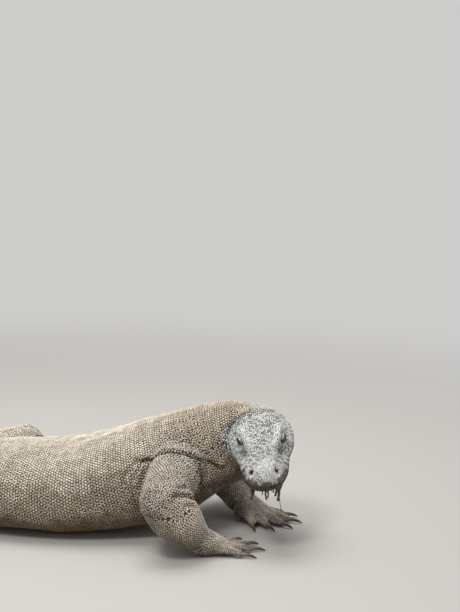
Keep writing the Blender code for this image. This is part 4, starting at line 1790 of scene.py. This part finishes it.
@dataclass
class Coat:
    """The scales as solid beads over the skin, made by a node tree and kept as plain meshes."""

    body: Body
    markings_and_shade: MarkingsAndShade
    finish: Material
    kinds: int = 5
    foot: float = 0.545  # a bead's radii, in its width, and how deep it stands, in its height
    crown: float = 0.405
    depth: float = 0.40
    height: float = 0.285  # of a scale, in its width
    head_plump: float = 0.10
    head_flat: float = 0.12
    skew: float = 0.22

    def __post_init__(self) -> None:
        """Starts the random draws and makes the beads and the node tree."""
        self.draw = np.random.default_rng(SEED + 1)
        self.beads = bpy.data.collections.new("beads")
        for kind in range(self.kinds):
            self.beads.objects.link(bpy.data.objects.new(f"bead_{kind}", self.bead_mesh()))
        self.tree = self.make_tree()

    def bead_mesh(self) -> Mesh:
        """One low, keeled, slightly uneven pebble pointing along X, 1 wide and 1 high."""
        sides = BEAD_SIDES
        turn = self.draw.random()
        corner = np.arange(sides) + turn + 0.22 * (self.draw.random(sides) - 0.5)
        corner = 2 * math.pi * corner / sides
        uneven = 1 + 0.12 * (self.draw.random(sides) - 0.5)
        ring = np.stack([np.cos(corner), np.sin(corner)], axis=1) * uneven[:, None]
        points = [(self.foot * x, self.foot * y, -self.depth) for x, y in ring]
        points += [(self.crown * x + 0.03, self.crown * y, 0.60) for x, y in ring]
        points += [(-0.13, 0.0, 0.94), (0.17, 0.0, 1.0)]
        front, rear = 2 * sides, 2 * sides + 1
        faces = [(0, k + 1, k) for k in range(1, sides - 1)]
        pairs = [(k, (k + 1) % sides) for k in range(sides)]
        for k, n in pairs:
            faces += [(k, n, sides + n), (k, sides + n, sides + k)]
        tops = [rear if ring[k][0] + ring[n][0] > 0 else front for k, n in pairs]
        for k, n in pairs:
            faces.append((sides + k, sides + n, tops[k]))
            if tops[n] != tops[k]:
                faces.append((sides + n, tops[n], tops[k]))
        mesh = bpy.data.meshes.new("bead")
        mesh.from_pydata(points, [], faces)
        mesh.update()
        rise = np.array([0.0] * sides + [0.72] * sides + [1.0, 1.0])
        put_attribute(mesh, "rise", "FLOAT", rise)
        spots = []
        for number, face in enumerate(faces):
            shrink = 0.02 if number < sides - 2 else 0.9
            spots += [(points[v][0] * shrink, points[v][1] * shrink) for v in face]
        put_attribute(mesh, "spot", "FLOAT2", np.array(spots), "CORNER")
        smooth_shaded(mesh)
        return mesh

    def make_tree(self) -> bpy.types.NodeTree:
        """The node tree that sets a bead on each root and lays out its bake patch."""
        draw = Sketch(bpy.data.node_groups.new("Scales", "GeometryNodeTree"))
        given, result = draw.ends(
            {
                "Roots": "Geometry",
                "Beads": "Collection",
                "Patch Width": "Float",
                "Finish": "Material",
            },
            {"Scales": "Geometry"},
        )

        def named(name: str, kind: str) -> Socket:
            """The output of a node that reads a named attribute."""
            settings = {"data_type": kind}
            node = draw.node("GeometryNodeInputNamedAttribute", settings, Name=name)
            return node.outputs["Attribute"]

        beads = draw.node(
            "GeometryNodeCollectionInfo",
            Collection=given["Beads"],
            Separate_Children=True,
            Reset_Children=True,
        )
        stand = draw.node(
            "GeometryNodeInstanceOnPoints",
            Points=given["Roots"],
            Instance=beads.outputs["Instances"],
            Pick_Instance=True,
            Instance_Index=named("kind", "INT"),
            Rotation=named("turn", "QUATERNION"),
            Scale=named("size", "FLOAT_VECTOR"),
        )
        real = draw.node("GeometryNodeRealizeInstances", Geometry=stand.outputs["Instances"])
        spread = draw.node(
            "ShaderNodeVectorMath",
            {"operation": "MULTIPLY_ADD"},
            i0=named("spot", "FLOAT_VECTOR"),
            i1=given["Patch Width"],
            i2=named("patch", "FLOAT_VECTOR"),
        )
        store = draw.node(
            "GeometryNodeStoreNamedAttribute",
            {"data_type": "FLOAT2", "domain": "CORNER"},
            Name="OFBake",
            Geometry=real.outputs["Geometry"],
            Value=spread.outputs["Vector"],
        )
        smooth = draw.node("GeometryNodeSetShadeSmooth", Geometry=store.outputs["Geometry"])
        paint = draw.node(
            "GeometryNodeSetMaterial", Geometry=smooth.outputs["Geometry"], Material=given["Finish"]
        )
        draw.link(paint.outputs["Geometry"], result["Scales"])
        return draw.tree

    def pieces(self, roots: Roots) -> list[CoatPiece]:
        """The roots shared out into pieces.

        Args:
            roots: all the roots.

        Returns:
            Pieces under the limit, each with its own unwrap.
        """
        owner, metres, angles = self.body.owners(roots.place)
        spines = self.body.spines
        shares = metres / np.array([spine.length for spine in spines])[owner]
        digits = [spine.name[-1] for spine in spines]
        toes = np.array([int(digit) - 1 if digit.isdigit() else -1 for digit in digits])[owner]
        made = []
        for group in dict.fromkeys(self.body.groups.tolist()):
            mine = np.flatnonzero(self.body.groups[owner] == group)
            parts = math.ceil(len(mine) / (PIECE_FACES // BEAD_FACES))
            order = mine[np.argsort(shares[mine], kind="stable")]
            for number, rows in enumerate(np.array_split(order, parts)):
                share, toe = shares[rows], toes[rows]
                u = 0.01 + 0.98 * (share - share.min()) / (share.max() - share.min())
                v = 0.01 + 0.98 * (angles[rows] / (2 * math.pi) + 0.5)
                if toes[mine].max() >= 0:
                    v = np.where(toe < 0, 0.6 * v, 0.62 + 0.37 * v)
                    u = np.where(toe < 0, u, 0.2 * toe + 0.01 + 0.18 * share)
                name = f"coat_{group}" + (f"_{number + 1}" if parts > 1 else "")
                patch = np.column_stack([u, v, np.zeros(len(u))])
                made.append(CoatPiece(name, roots.only(rows), patch))
        return made

    def on_head(self, roots: Roots) -> Array:
        """How far each scale belongs to the head, from 0 to 1."""
        local = self.body.in_head(roots.place)
        return ramp(-reaches(local, (0.095, 0, 0), (0.105, 0.085, 0.065)), -1.25, -0.95)

    def clear(self) -> None:
        """Takes the loose beads away once every piece is made."""
        for bead in list(self.beads.objects):
            bpy.data.objects.remove(bead, do_unlink=True)
        bpy.data.collections.remove(self.beads)

    def roots_mesh(self, piece: CoatPiece) -> Mesh:
        """One piece's roots as points that carry what the node tree reads.

        Args:
            piece: the piece.

        Returns:
            The new mesh.
        """
        roots, count = piece.roots, len(piece.roots)
        mesh = bpy.data.meshes.new(piece.name)
        mesh.from_pydata(roots.place.tolist(), [], [])
        vary = 1 + 0.10 * (self.draw.random((count, 3)) - 0.5)
        head = self.on_head(roots)
        plump = 1 + self.head_plump * head
        relief = self.height * roots.spacing * (1 - self.head_flat * head)
        wide, long = roots.spacing * 1.02 * plump, roots.spacing * 0.99 * plump
        skew = self.skew * (self.draw.random((count, 1)) - 0.5)
        skew = np.cross(roots.out, roots.along) * skew
        kinds = self.draw.integers(0, self.kinds, count)
        tones = self.markings_and_shade.tones(roots.place, roots.out, self.draw.random(count))
        for name, kind, values in (
            ("turn", "QUATERNION", quaternions(roots.along + skew, roots.out)),
            ("kind", "INT", kinds),
            ("size", "FLOAT_VECTOR", np.column_stack([wide, long, relief]) * vary),
            ("patch", "FLOAT_VECTOR", piece.patch),
            ("tone", "FLOAT_COLOR", tones),
        ):
            put_attribute(mesh, name, kind, values)
        return mesh

    def build(self, piece: CoatPiece) -> Object:
        """Makes one piece of the coat.

        Args:
            piece: the piece.

        Returns:
            Its object.
        """
        maker = add_object(piece.name + "_roots", self.roots_mesh(piece))
        grow = maker.modifiers.new("scales", "NODES")
        grow.node_group = self.tree
        items = self.tree.interface.items_tree
        sockets = {item.name: item.identifier for item in items if item.in_out == "INPUT"}
        grow[sockets["Beads"]] = self.beads
        grow[sockets["Patch Width"]] = PATCH
        grow[sockets["Finish"]] = self.finish
        made = evaluated(maker)
        for name in ("spot", "patch", "size", "turn", "kind"):
            if name in made.attributes:
                made.attributes.remove(made.attributes[name])
        keep_above(made, FLOOR_GAP)
        made.name = piece.name
        obj = add_object(piece.name, made)
        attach(obj, ROOT_BODY)
        return obj


# -------------------- eyes, claws and drool


@dataclass
class Eyes:
    """The two eyeballs, dark brown with a round pupil, under a clear wet surface."""

    face: Face
    finish: Material
    slack: float = 0.0001  # how much smaller the ball is than the lids' inside
    bulge: float = 0.0007  # of the clear surface over the pupil

    def build(self, side: int) -> Object:
        """Makes one eye.

        Args:
            side: -1 for the animal's right, 1 for its left.

        Returns:
            Its object.
        """
        axes = self.face.eye_axes(side)
        mesh = bpy.data.meshes.new("eyeball_left" if side > 0 else "eyeball_right")
        with editing(mesh) as bm:
            radius = self.face.eye_radius - self.slack
            bmesh.ops.create_uvsphere(bm, u_segments=56, v_segments=40, radius=radius)
        co, _ = mesh_arrays(mesh)
        angle = np.arccos(np.clip(unit(co)[:, 2], -1, 1))
        co += unit(co) * (self.bulge * ramp(-angle, -0.62, -0.20))[:, None]
        put_attribute(mesh, "gaze", "FLOAT", angle)
        set_places(mesh, co @ axes + self.face.eye_centre(side))
        if np.linalg.det(axes) < 0:
            mesh.flip_normals()
        smooth_shaded(mesh)
        mesh.materials.append(self.finish)
        obj = add_object(mesh.name, mesh)
        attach(obj, ROOT_BODY)
        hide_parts("eye_left" if side > 0 else "eye_right")
        return obj


@dataclass
class Claws:
    """Each limb's five curved claws."""

    body: Body
    finish: Material
    stations: int = 14
    around: int = 12
    sunk: float = 0.0090  # how far the claw starts inside its toe
    reach: float = 0.0353
    curve: float = 1.25
    radius: float = 0.0053
    tip_radius: float = 0.0005
    narrow: float = 0.74  # its half width, and its lower half height, in radii
    sole: float = 0.86

    def claw(self, plan: LimbPlan, k: int) -> Array:
        """One claw's places, ring after ring from its root to its tip.

        Args:
            plan: the claw's limb.
            k: the toe's number, from 0 on the inner side.

        Returns:
            The places.
        """
        _, _, tip, ahead = self.body.toe_line(plan, k)
        start = tip - ahead * self.sunk
        across = np.cross(UP, ahead)
        places = []
        for share in np.linspace(0, 1, self.stations):
            reach = self.reach * math.sin(share * self.curve) / math.sin(self.curve)
            height = 0.002 * math.sin(math.pi * min(1, share * 1.15)) + 0.0022 * share
            centre = start + ahead * reach
            centre[2] = start[2] * (1 - share) + height
            thick = self.radius * (1 - share) ** 0.75 + self.tip_radius
            for j in range(self.around):
                angle = 2 * math.pi * j / self.around
                flat = self.sole if math.sin(angle) < 0 else 1.0
                aside = across * math.cos(angle) * thick * self.narrow
                places.append(centre + aside + UP * math.sin(angle) * thick * flat)
        return np.array(places)

    def build(self, limb: str) -> Object:
        """Makes one limb's claws as one piece.

        Args:
            limb: the limb's name.

        Returns:
            Their object.
        """
        rings = [self.claw(LIMBS[limb], k) for k in range(5)]
        mesh = tubes(f"claws_{limb}", rings, self.around)
        shares = np.repeat(np.linspace(0, 1, self.stations), self.around)
        put_attribute(mesh, "tipward", "FLOAT", np.tile(shares, 5))
        keep_above(mesh, FLOOR_GAP)
        smooth_shaded(mesh)
        mesh.materials.append(self.finish)
        obj = add_object(mesh.name, mesh)
        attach(obj, ROOT_BODY)
        end, side = limb.split("_")
        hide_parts(*(f"claw_{end}_{side}_{k + 1}" for k in range(5)))
        return obj


@dataclass(frozen=True)
class Strand:
    """One string of drool: how far to the left of the chin's middle, its length and its radii."""

    out: float
    length: float
    top: float
    waist: float
    drop: float


STRANDS = (
    Strand(-0.0270, 0.028, 0.0044, 0.0017, 0.0019),
    Strand(-0.0225, 0.016, 0.0036, 0.0015, 0.0017),
    Strand(-0.0060, 0.013, 0.0022, 0.0011, 0.0013),
    Strand(0.0000, 0.023, 0.0034, 0.0017, 0.0023),
    Strand(0.0045, 0.017, 0.0032, 0.0015, 0.0019),
    Strand(0.0120, 0.008, 0.0018, 0.0010, 0.0011),
    Strand(0.0175, 0.011, 0.0022, 0.0011, 0.0013),
    Strand(0.0235, 0.021, 0.0042, 0.0021, 0.0027),
    Strand(0.0262, 0.032, 0.0038, 0.0018, 0.0030),
    Strand(0.0285, 0.058, 0.0030, 0.0005, 0.0007),
    Strand(0.0325, 0.023, 0.0030, 0.0014, 0.0018),
)


@dataclass
class Drool:
    """The animal's own strands of saliva and mud below its lower lip."""

    body: Body
    skin: Object
    finish: Material
    stations: int = 22
    around: int = 10
    below: float = 0.0085  # where it hangs, under the mouth's line
    sunk: float = 0.0022  # how far its top is inside the lip

    def __post_init__(self) -> None:
        """Takes the skin's surface and starts the random draws."""
        self.surface = surface_of(self.skin)
        self.draw = np.random.default_rng(SEED + 2)

    def start(self, out: float) -> Array:
        """Where a strand leaves the lower lip."""
        ahead = self.body.head_axes[0]
        origin = self.body.on_head(0.26, out, LIP_LINE - self.below)
        hit = self.surface.ray_cast(Vector(origin), Vector(-ahead), 0.2)
        return np.array(hit[0]) - ahead * self.sunk

    def strand(self, strand: Strand) -> Array:
        """One strand's places, ring after ring from inside the lip to its drop.

        Args:
            strand: its sizes.

        Returns:
            The places.
        """
        start = self.start(strand.out) + UP * 0.002
        sway, phase = self.draw.normal(size=2) * 0.0022, 6.3 * self.draw.random()
        calm = min(1, strand.length / 0.02)
        rings = []
        for share in np.linspace(0, 1, self.stations):
            radius = strand.waist + (strand.top - strand.waist) * (1 - share) ** 3.0
            radius += (strand.drop - strand.waist) * math.exp(-(((share - 0.93) / 0.10) ** 2))
            radius *= 1 + 0.20 * math.sin(9 * share + phase) * (1 - share)
            radius *= math.sqrt(max(1 - max(share - 0.93, 0) / 0.0705, 0.02))
            centre = start - UP * strand.length * share
            centre[:2] += sway * share * share + 0.0006 * math.sin(7 * share + phase) * calm
            for j in range(self.around):
                angle = 2 * math.pi * j / self.around
                rings.append(centre + radius * np.array((math.cos(angle), math.sin(angle), 0)))
        return np.array(rings)

    def build(self) -> Object:
        """Makes all the strands as one piece."""
        mesh = tubes("drool", [self.strand(strand) for strand in STRANDS], self.around)
        smooth_shaded(mesh)
        mesh.materials.append(self.finish)
        obj = add_object("drool", mesh)
        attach(obj, ROOT_BODY)
        return obj


# -------------------- finishes


class Sketch:
    """Small help for laying out a tree's nodes."""

    def __init__(self, tree: bpy.types.NodeTree) -> None:
        """Takes the tree to fill."""
        self.tree = tree
        self.link = tree.links.new

    def ends(self, given: dict[str, str], result: dict[str, str]) -> tuple[Socket, Socket]:
        """Gives a group its own sockets.

        Args:
            given: its inputs' names and kinds.
            result: its outputs' names and kinds.

        Returns:
            What its inputs come out of, and what its outputs go into.
        """
        for way, sockets in (("INPUT", given), ("OUTPUT", result)):
            for name, kind in sockets.items():
                self.tree.interface.new_socket(name, in_out=way, socket_type=f"NodeSocket{kind}")
        nodes = self.tree.nodes
        return nodes.new("NodeGroupInput").outputs, nodes.new("NodeGroupOutput").inputs

    def node(self, kind: str, settings: dict[str, object] | None = None, **inputs: object) -> Node:
        """A new node.

        Args:
            kind: its type.
            settings: its own settings.
            inputs: a socket or a value for each input, by name or by number as in i0.

        Returns:
            The node.
        """
        made = self.tree.nodes.new(kind)
        for key, value in (settings or {}).items():
            setattr(made, key, value)
        for key, value in inputs.items():
            number = key[0] == "i" and key[1:].isdigit()
            socket = made.inputs[int(key[1:]) if number else key.replace("_", " ")]
            if isinstance(value, Socket):
                self.link(value, socket)
            else:
                socket.default_value = value
        return made

    def math(self, operation: str, a: object, b: object = 0.0, c: object = 0.0) -> Socket:
        """The result of one sum."""
        return self.node("ShaderNodeMath", {"operation": operation}, i0=a, i1=b, i2=c).outputs[0]

    def fade(self, value: Socket, low: float, high: float, *ends: float) -> Socket:
        """A smooth step of a value from 0 to 1, or from the first to the last of two ends."""
        first, last = ends or (0.0, 1.0)
        step = {"interpolation_type": "SMOOTHSTEP"}
        made = self.node("ShaderNodeMapRange", step, i0=value, i1=low, i2=high, i3=first, i4=last)
        return made.outputs[0]

    def blend(self, share: object, a: object, b: object, kind: str = "MIX") -> Socket:
        """Two colours mixed."""
        settings = {"data_type": "RGBA", "blend_type": kind}
        return self.node("ShaderNodeMix", settings, i0=share, i6=a, i7=b).outputs[2]

    def attribute(self, name: str) -> bpy.types.bpy_prop_collection:
        """The sockets that a named attribute comes out of."""
        return self.node("ShaderNodeAttribute", {"attribute_name": name}).outputs

    def noise(self, scale: float, **inputs: float) -> Socket:
        """A noise through space."""
        place = self.node("ShaderNodeTexCoord").outputs["Object"]
        return self.node("ShaderNodeTexNoise", Vector=place, Scale=scale, **inputs).outputs[0]


def new_material(name: str) -> tuple[Material, Sketch, bpy.types.NodeInputs]:
    """A new material, a sketch of its nodes, and its shader's inputs."""
    material = bpy.data.materials.new(name)
    material.use_nodes = True
    tree = material.node_tree
    return material, Sketch(tree), tree.nodes["Principled BSDF"].inputs


@dataclass(frozen=True)
class HideFinish:
    """The dry, dusty hide: dark between its scales, wet where its tones say so."""

    roughness: float = 0.66
    shine: float = 0.35
    gap: Colour = (0.125, 0.100, 0.080, 1.0)
    crest: Colour = (1.26, 1.26, 1.26, 1.0)

    def group(self) -> bpy.types.NodeTree:
        """The shared node group that colours the skin and the scales."""
        draw = Sketch(bpy.data.node_groups.new("Hide Surface", "ShaderNodeTree"))
        given, result = draw.ends(
            {"Tone": "Color", "Rise": "Float", "Wet": "Float"},
            {"Color": "Color", "Roughness": "Float", "Height": "Float"},
        )
        grain = draw.noise(1400.0, Detail=3.0, Roughness=0.6)
        dust = draw.noise(95.0, Detail=4.0, Roughness=0.62)
        low = draw.blend(1.0, given["Tone"], self.gap, "MULTIPLY")
        high = draw.blend(1.0, given["Tone"], self.crest, "MULTIPLY")
        color = draw.blend(draw.fade(given["Rise"], 0.16, 0.90), low, high)
        shade = draw.math("MULTIPLY_ADD", grain, 0.44, 0.78)
        shade = draw.math("MULTIPLY", shade, draw.fade(dust, 0.30, 0.70, 0.86, 1.12))
        grey = draw.node("ShaderNodeCombineColor", i0=shade, i1=shade, i2=shade).outputs[0]
        dry = draw.math("MULTIPLY_ADD", dust, 0.22, self.roughness - 0.11)
        draw.link(draw.blend(1.0, color, grey, "MULTIPLY"), result["Color"])
        draw.link(draw.math("MULTIPLY_ADD", given["Wet"], -0.50, dry), result["Roughness"])
        draw.link(draw.math("MULTIPLY_ADD", grain, 0.35, dust), result["Height"])
        return draw.tree

    def make(self) -> Material:
        """The hide's material."""
        material, draw, shader = new_material("hide")
        tone, rise = draw.attribute("tone"), draw.attribute("rise")["Fac"]
        group = {"node_tree": self.group()}
        surface = draw.node(
            "ShaderNodeGroup", group, Tone=tone["Color"], Wet=tone["Alpha"], Rise=rise
        ).outputs
        bump = draw.node("ShaderNodeBump", Strength=0.35, Distance=0.0006, Height=surface["Height"])
        draw.link(surface["Color"], shader["Base Color"])
        draw.link(surface["Roughness"], shader["Roughness"])
        draw.link(bump.outputs["Normal"], shader["Normal"])
        shader["Specular IOR Level"].default_value = self.shine
        return material


@dataclass(frozen=True)
class EyeFinish:
    """A glossy dark eye: black pupil, brown iris with an ochre ring, dark outer ball."""

    pupil: Colour = (0.002, 0.002, 0.002, 1)
    iris: tuple[Colour, Colour] = ((0.014, 0.008, 0.004, 1), (0.050, 0.027, 0.012, 1))
    ring: Colour = (0.085, 0.050, 0.020, 1)
    outer: Colour = (0.008, 0.006, 0.005, 1)
    roughness: float = 0.06
    coat: tuple[float, float] = (0.6, 0.03)  # the clear coat's weight and roughness

    def make(self) -> Material:
        """The eye's material."""
        material, draw, shader = new_material("eye")
        gaze = draw.attribute("gaze")["Fac"]
        iris = draw.blend(draw.fade(draw.noise(1500.0, Detail=2.0), 0.35, 0.70), *self.iris)
        ring = draw.blend(draw.fade(gaze, 0.30, 0.34, 1.0, 0.0), iris, self.ring)
        pupil = draw.blend(draw.fade(gaze, 0.24, 0.29), self.pupil, ring)
        color = draw.blend(draw.fade(gaze, 0.62, 0.72), pupil, self.outer)
        draw.link(color, shader["Base Color"])
        shader["Roughness"].default_value = self.roughness
        shader["Coat Weight"].default_value, shader["Coat Roughness"].default_value = self.coat
        return material


@dataclass(frozen=True)
class ClawFinish:
    """Dark worn horn, greyer and dusty towards the root."""

    root: tuple[Colour, Colour] = ((0.20, 0.165, 0.125, 1), (0.11, 0.088, 0.066, 1))
    tip: Colour = (0.030, 0.022, 0.017, 1)
    roughness: float = 0.42

    def make(self) -> Material:
        """The claws' material."""
        material, draw, shader = new_material("claw")
        streak = draw.noise(420.0, Detail=4.0)
        root = draw.blend(draw.fade(streak, 0.35, 0.65), *self.root)
        tipward = draw.fade(draw.attribute("tipward")["Fac"], 0.15, 0.75)
        bump = draw.node("ShaderNodeBump", Strength=0.3, Distance=0.0004, Height=streak)
        draw.link(draw.blend(tipward, root, self.tip), shader["Base Color"])
        draw.link(bump.outputs["Normal"], shader["Normal"])
        shader["Roughness"].default_value = self.roughness
        return material


@dataclass(frozen=True)
class DroolFinish:
    """Thick wet saliva stained dark with mud."""

    mud: tuple[Colour, Colour] = ((0.014, 0.009, 0.006, 1), (0.042, 0.028, 0.019, 1))
    roughness: float = 0.14

    def make(self) -> Material:
        """The drool's material."""
        material, draw, shader = new_material("drool")
        cloud = draw.fade(draw.noise(300.0, Detail=2.0), 0.35, 0.65)
        draw.link(draw.blend(cloud, *self.mud), shader["Base Color"])
        shader["Roughness"].default_value = self.roughness
        return material


# -------------------- the studio


@dataclass(frozen=True)
class Lamp:
    """A broad soft light: its place, the place that it faces, its width and its power."""

    name: str
    at: Place
    aim: Place
    size: float
    watts: float


@dataclass(frozen=True)
class Studio:
    """Soft light over a plain pale floor, and the camera."""

    floor: Colour = (0.435, 0.417, 0.395, 1.0)
    reach: float = 60.0
    melt: tuple[float, float] = (1.0, 3.4)  # from here to there the floor turns into the sky
    sky: Colour = (0.875, 0.865, 0.850, 1.0)
    strength: float = 0.70
    lamps: tuple[Lamp, ...] = (
        Lamp("key", (0.1, -1.7, 2.5), (0.80, -0.18, 0.12), 0.7, 36.0),
        Lamp("top", (0.3, 0.5, 3.0), (0.45, 0.0, 0.10), 2.0, 72.0),
    )
    camera: Place = (0.907, -2.817, 0.85)
    lens: float = 74.7
    down: float = 7.6  # degrees under level

    def lay_floor(self) -> None:
        """A wide pale floor that melts into the background far away."""
        mesh = bpy.data.meshes.new("floor")
        far = self.reach
        corners = [(-far, -far, 0), (far, -far, 0), (far, far, 0), (-far, far, 0)]
        mesh.from_pydata(corners, [], [(0, 1, 2, 3)])
        material, draw, shader = new_material("floor")
        place = draw.node("ShaderNodeTexCoord").outputs["Object"]
        away = draw.node("ShaderNodeVectorMath", {"operation": "LENGTH"}, i0=place).outputs["Value"]
        glow = draw.node("ShaderNodeEmission", Color=self.sky, Strength=self.strength).outputs[0]
        plain = draw.tree.nodes["Principled BSDF"].outputs[0]
        share = draw.fade(away, *self.melt)
        mix = draw.node("ShaderNodeMixShader", i0=share, i1=plain, i2=glow).outputs[0]
        draw.link(mix, draw.tree.nodes["Material Output"].inputs["Surface"])
        shader["Base Color"].default_value = self.floor
        shader["Roughness"].default_value = 0.9
        mesh.materials.append(material)
        add_object("floor", mesh)

    def light(self) -> None:
        """An even sky, a broad soft light from the upper left, and a gentle one behind."""
        world = bpy.data.worlds.new("sky")
        bpy.context.scene.world = world
        world.use_nodes = True
        background = world.node_tree.nodes["Background"].inputs
        background["Color"].default_value = self.sky
        background["Strength"].default_value = self.strength
        for plan in self.lamps:
            lamp = bpy.data.lights.new(plan.name, "AREA")
            lamp.energy, lamp.size = plan.watts, plan.size
            obj = add_object(plan.name, lamp)
            obj.location = plan.at
            facing = Vector(plan.aim) - Vector(plan.at)
            obj.rotation_euler = facing.to_track_quat("-Z", "Y").to_euler()

    def shoot(self) -> None:
        """The camera: low in front of the animal, looking along +Y and a little down."""
        bpy.context.scene.view_settings.view_transform = "Standard"
        data = bpy.data.cameras.new("camera")
        data.lens, data.sensor_width, data.sensor_fit = self.lens, 36.0, "AUTO"
        camera = add_object("camera", data)
        camera.location = self.camera
        camera.rotation_euler = (math.radians(90 - self.down), 0, 0)
        bpy.context.scene.camera = camera


# -------------------- the whole animal


def report(obj: Object) -> None:
    """Reports a finished piece."""
    LOG.info("%s: %d faces", obj.name, len(obj.data.polygons))


def main() -> None:
    """Builds the skin, the coat, the eyes, the claws and the drool, then the studio."""
    logging.basicConfig(level=logging.INFO, format="%(name)s: %(message)s")
    body = Body()
    face = Face(body)
    markings_and_shade = MarkingsAndShade(body)
    hide = HideFinish().make()
    flesh = [name for name in frame["nodes"] if not name.startswith(("eye", "claw"))]
    skin = Skin(body, face, flesh)
    full = skin.build()
    roots = Planter(body, full, face).plant()
    LOG.info("scales in all: %d", len(roots))
    coat = Coat(body, markings_and_shade, hide)
    for piece in coat.pieces(roots):
        report(coat.build(piece))
    coat.clear()
    shown = skin.finish(full, markings_and_shade, hide)
    report(shown)
    eyes = Eyes(face, EyeFinish().make())
    for side in SIDES:
        report(eyes.build(side))
    claws = Claws(body, ClawFinish().make())
    for limb in LIMBS:
        report(claws.build(limb))
    report(Drool(body, shown, DroolFinish().make()).build())
    studio = Studio()
    studio.lay_floor()
    studio.light()
    studio.shoot()


if __name__ == "__main__":
    main()
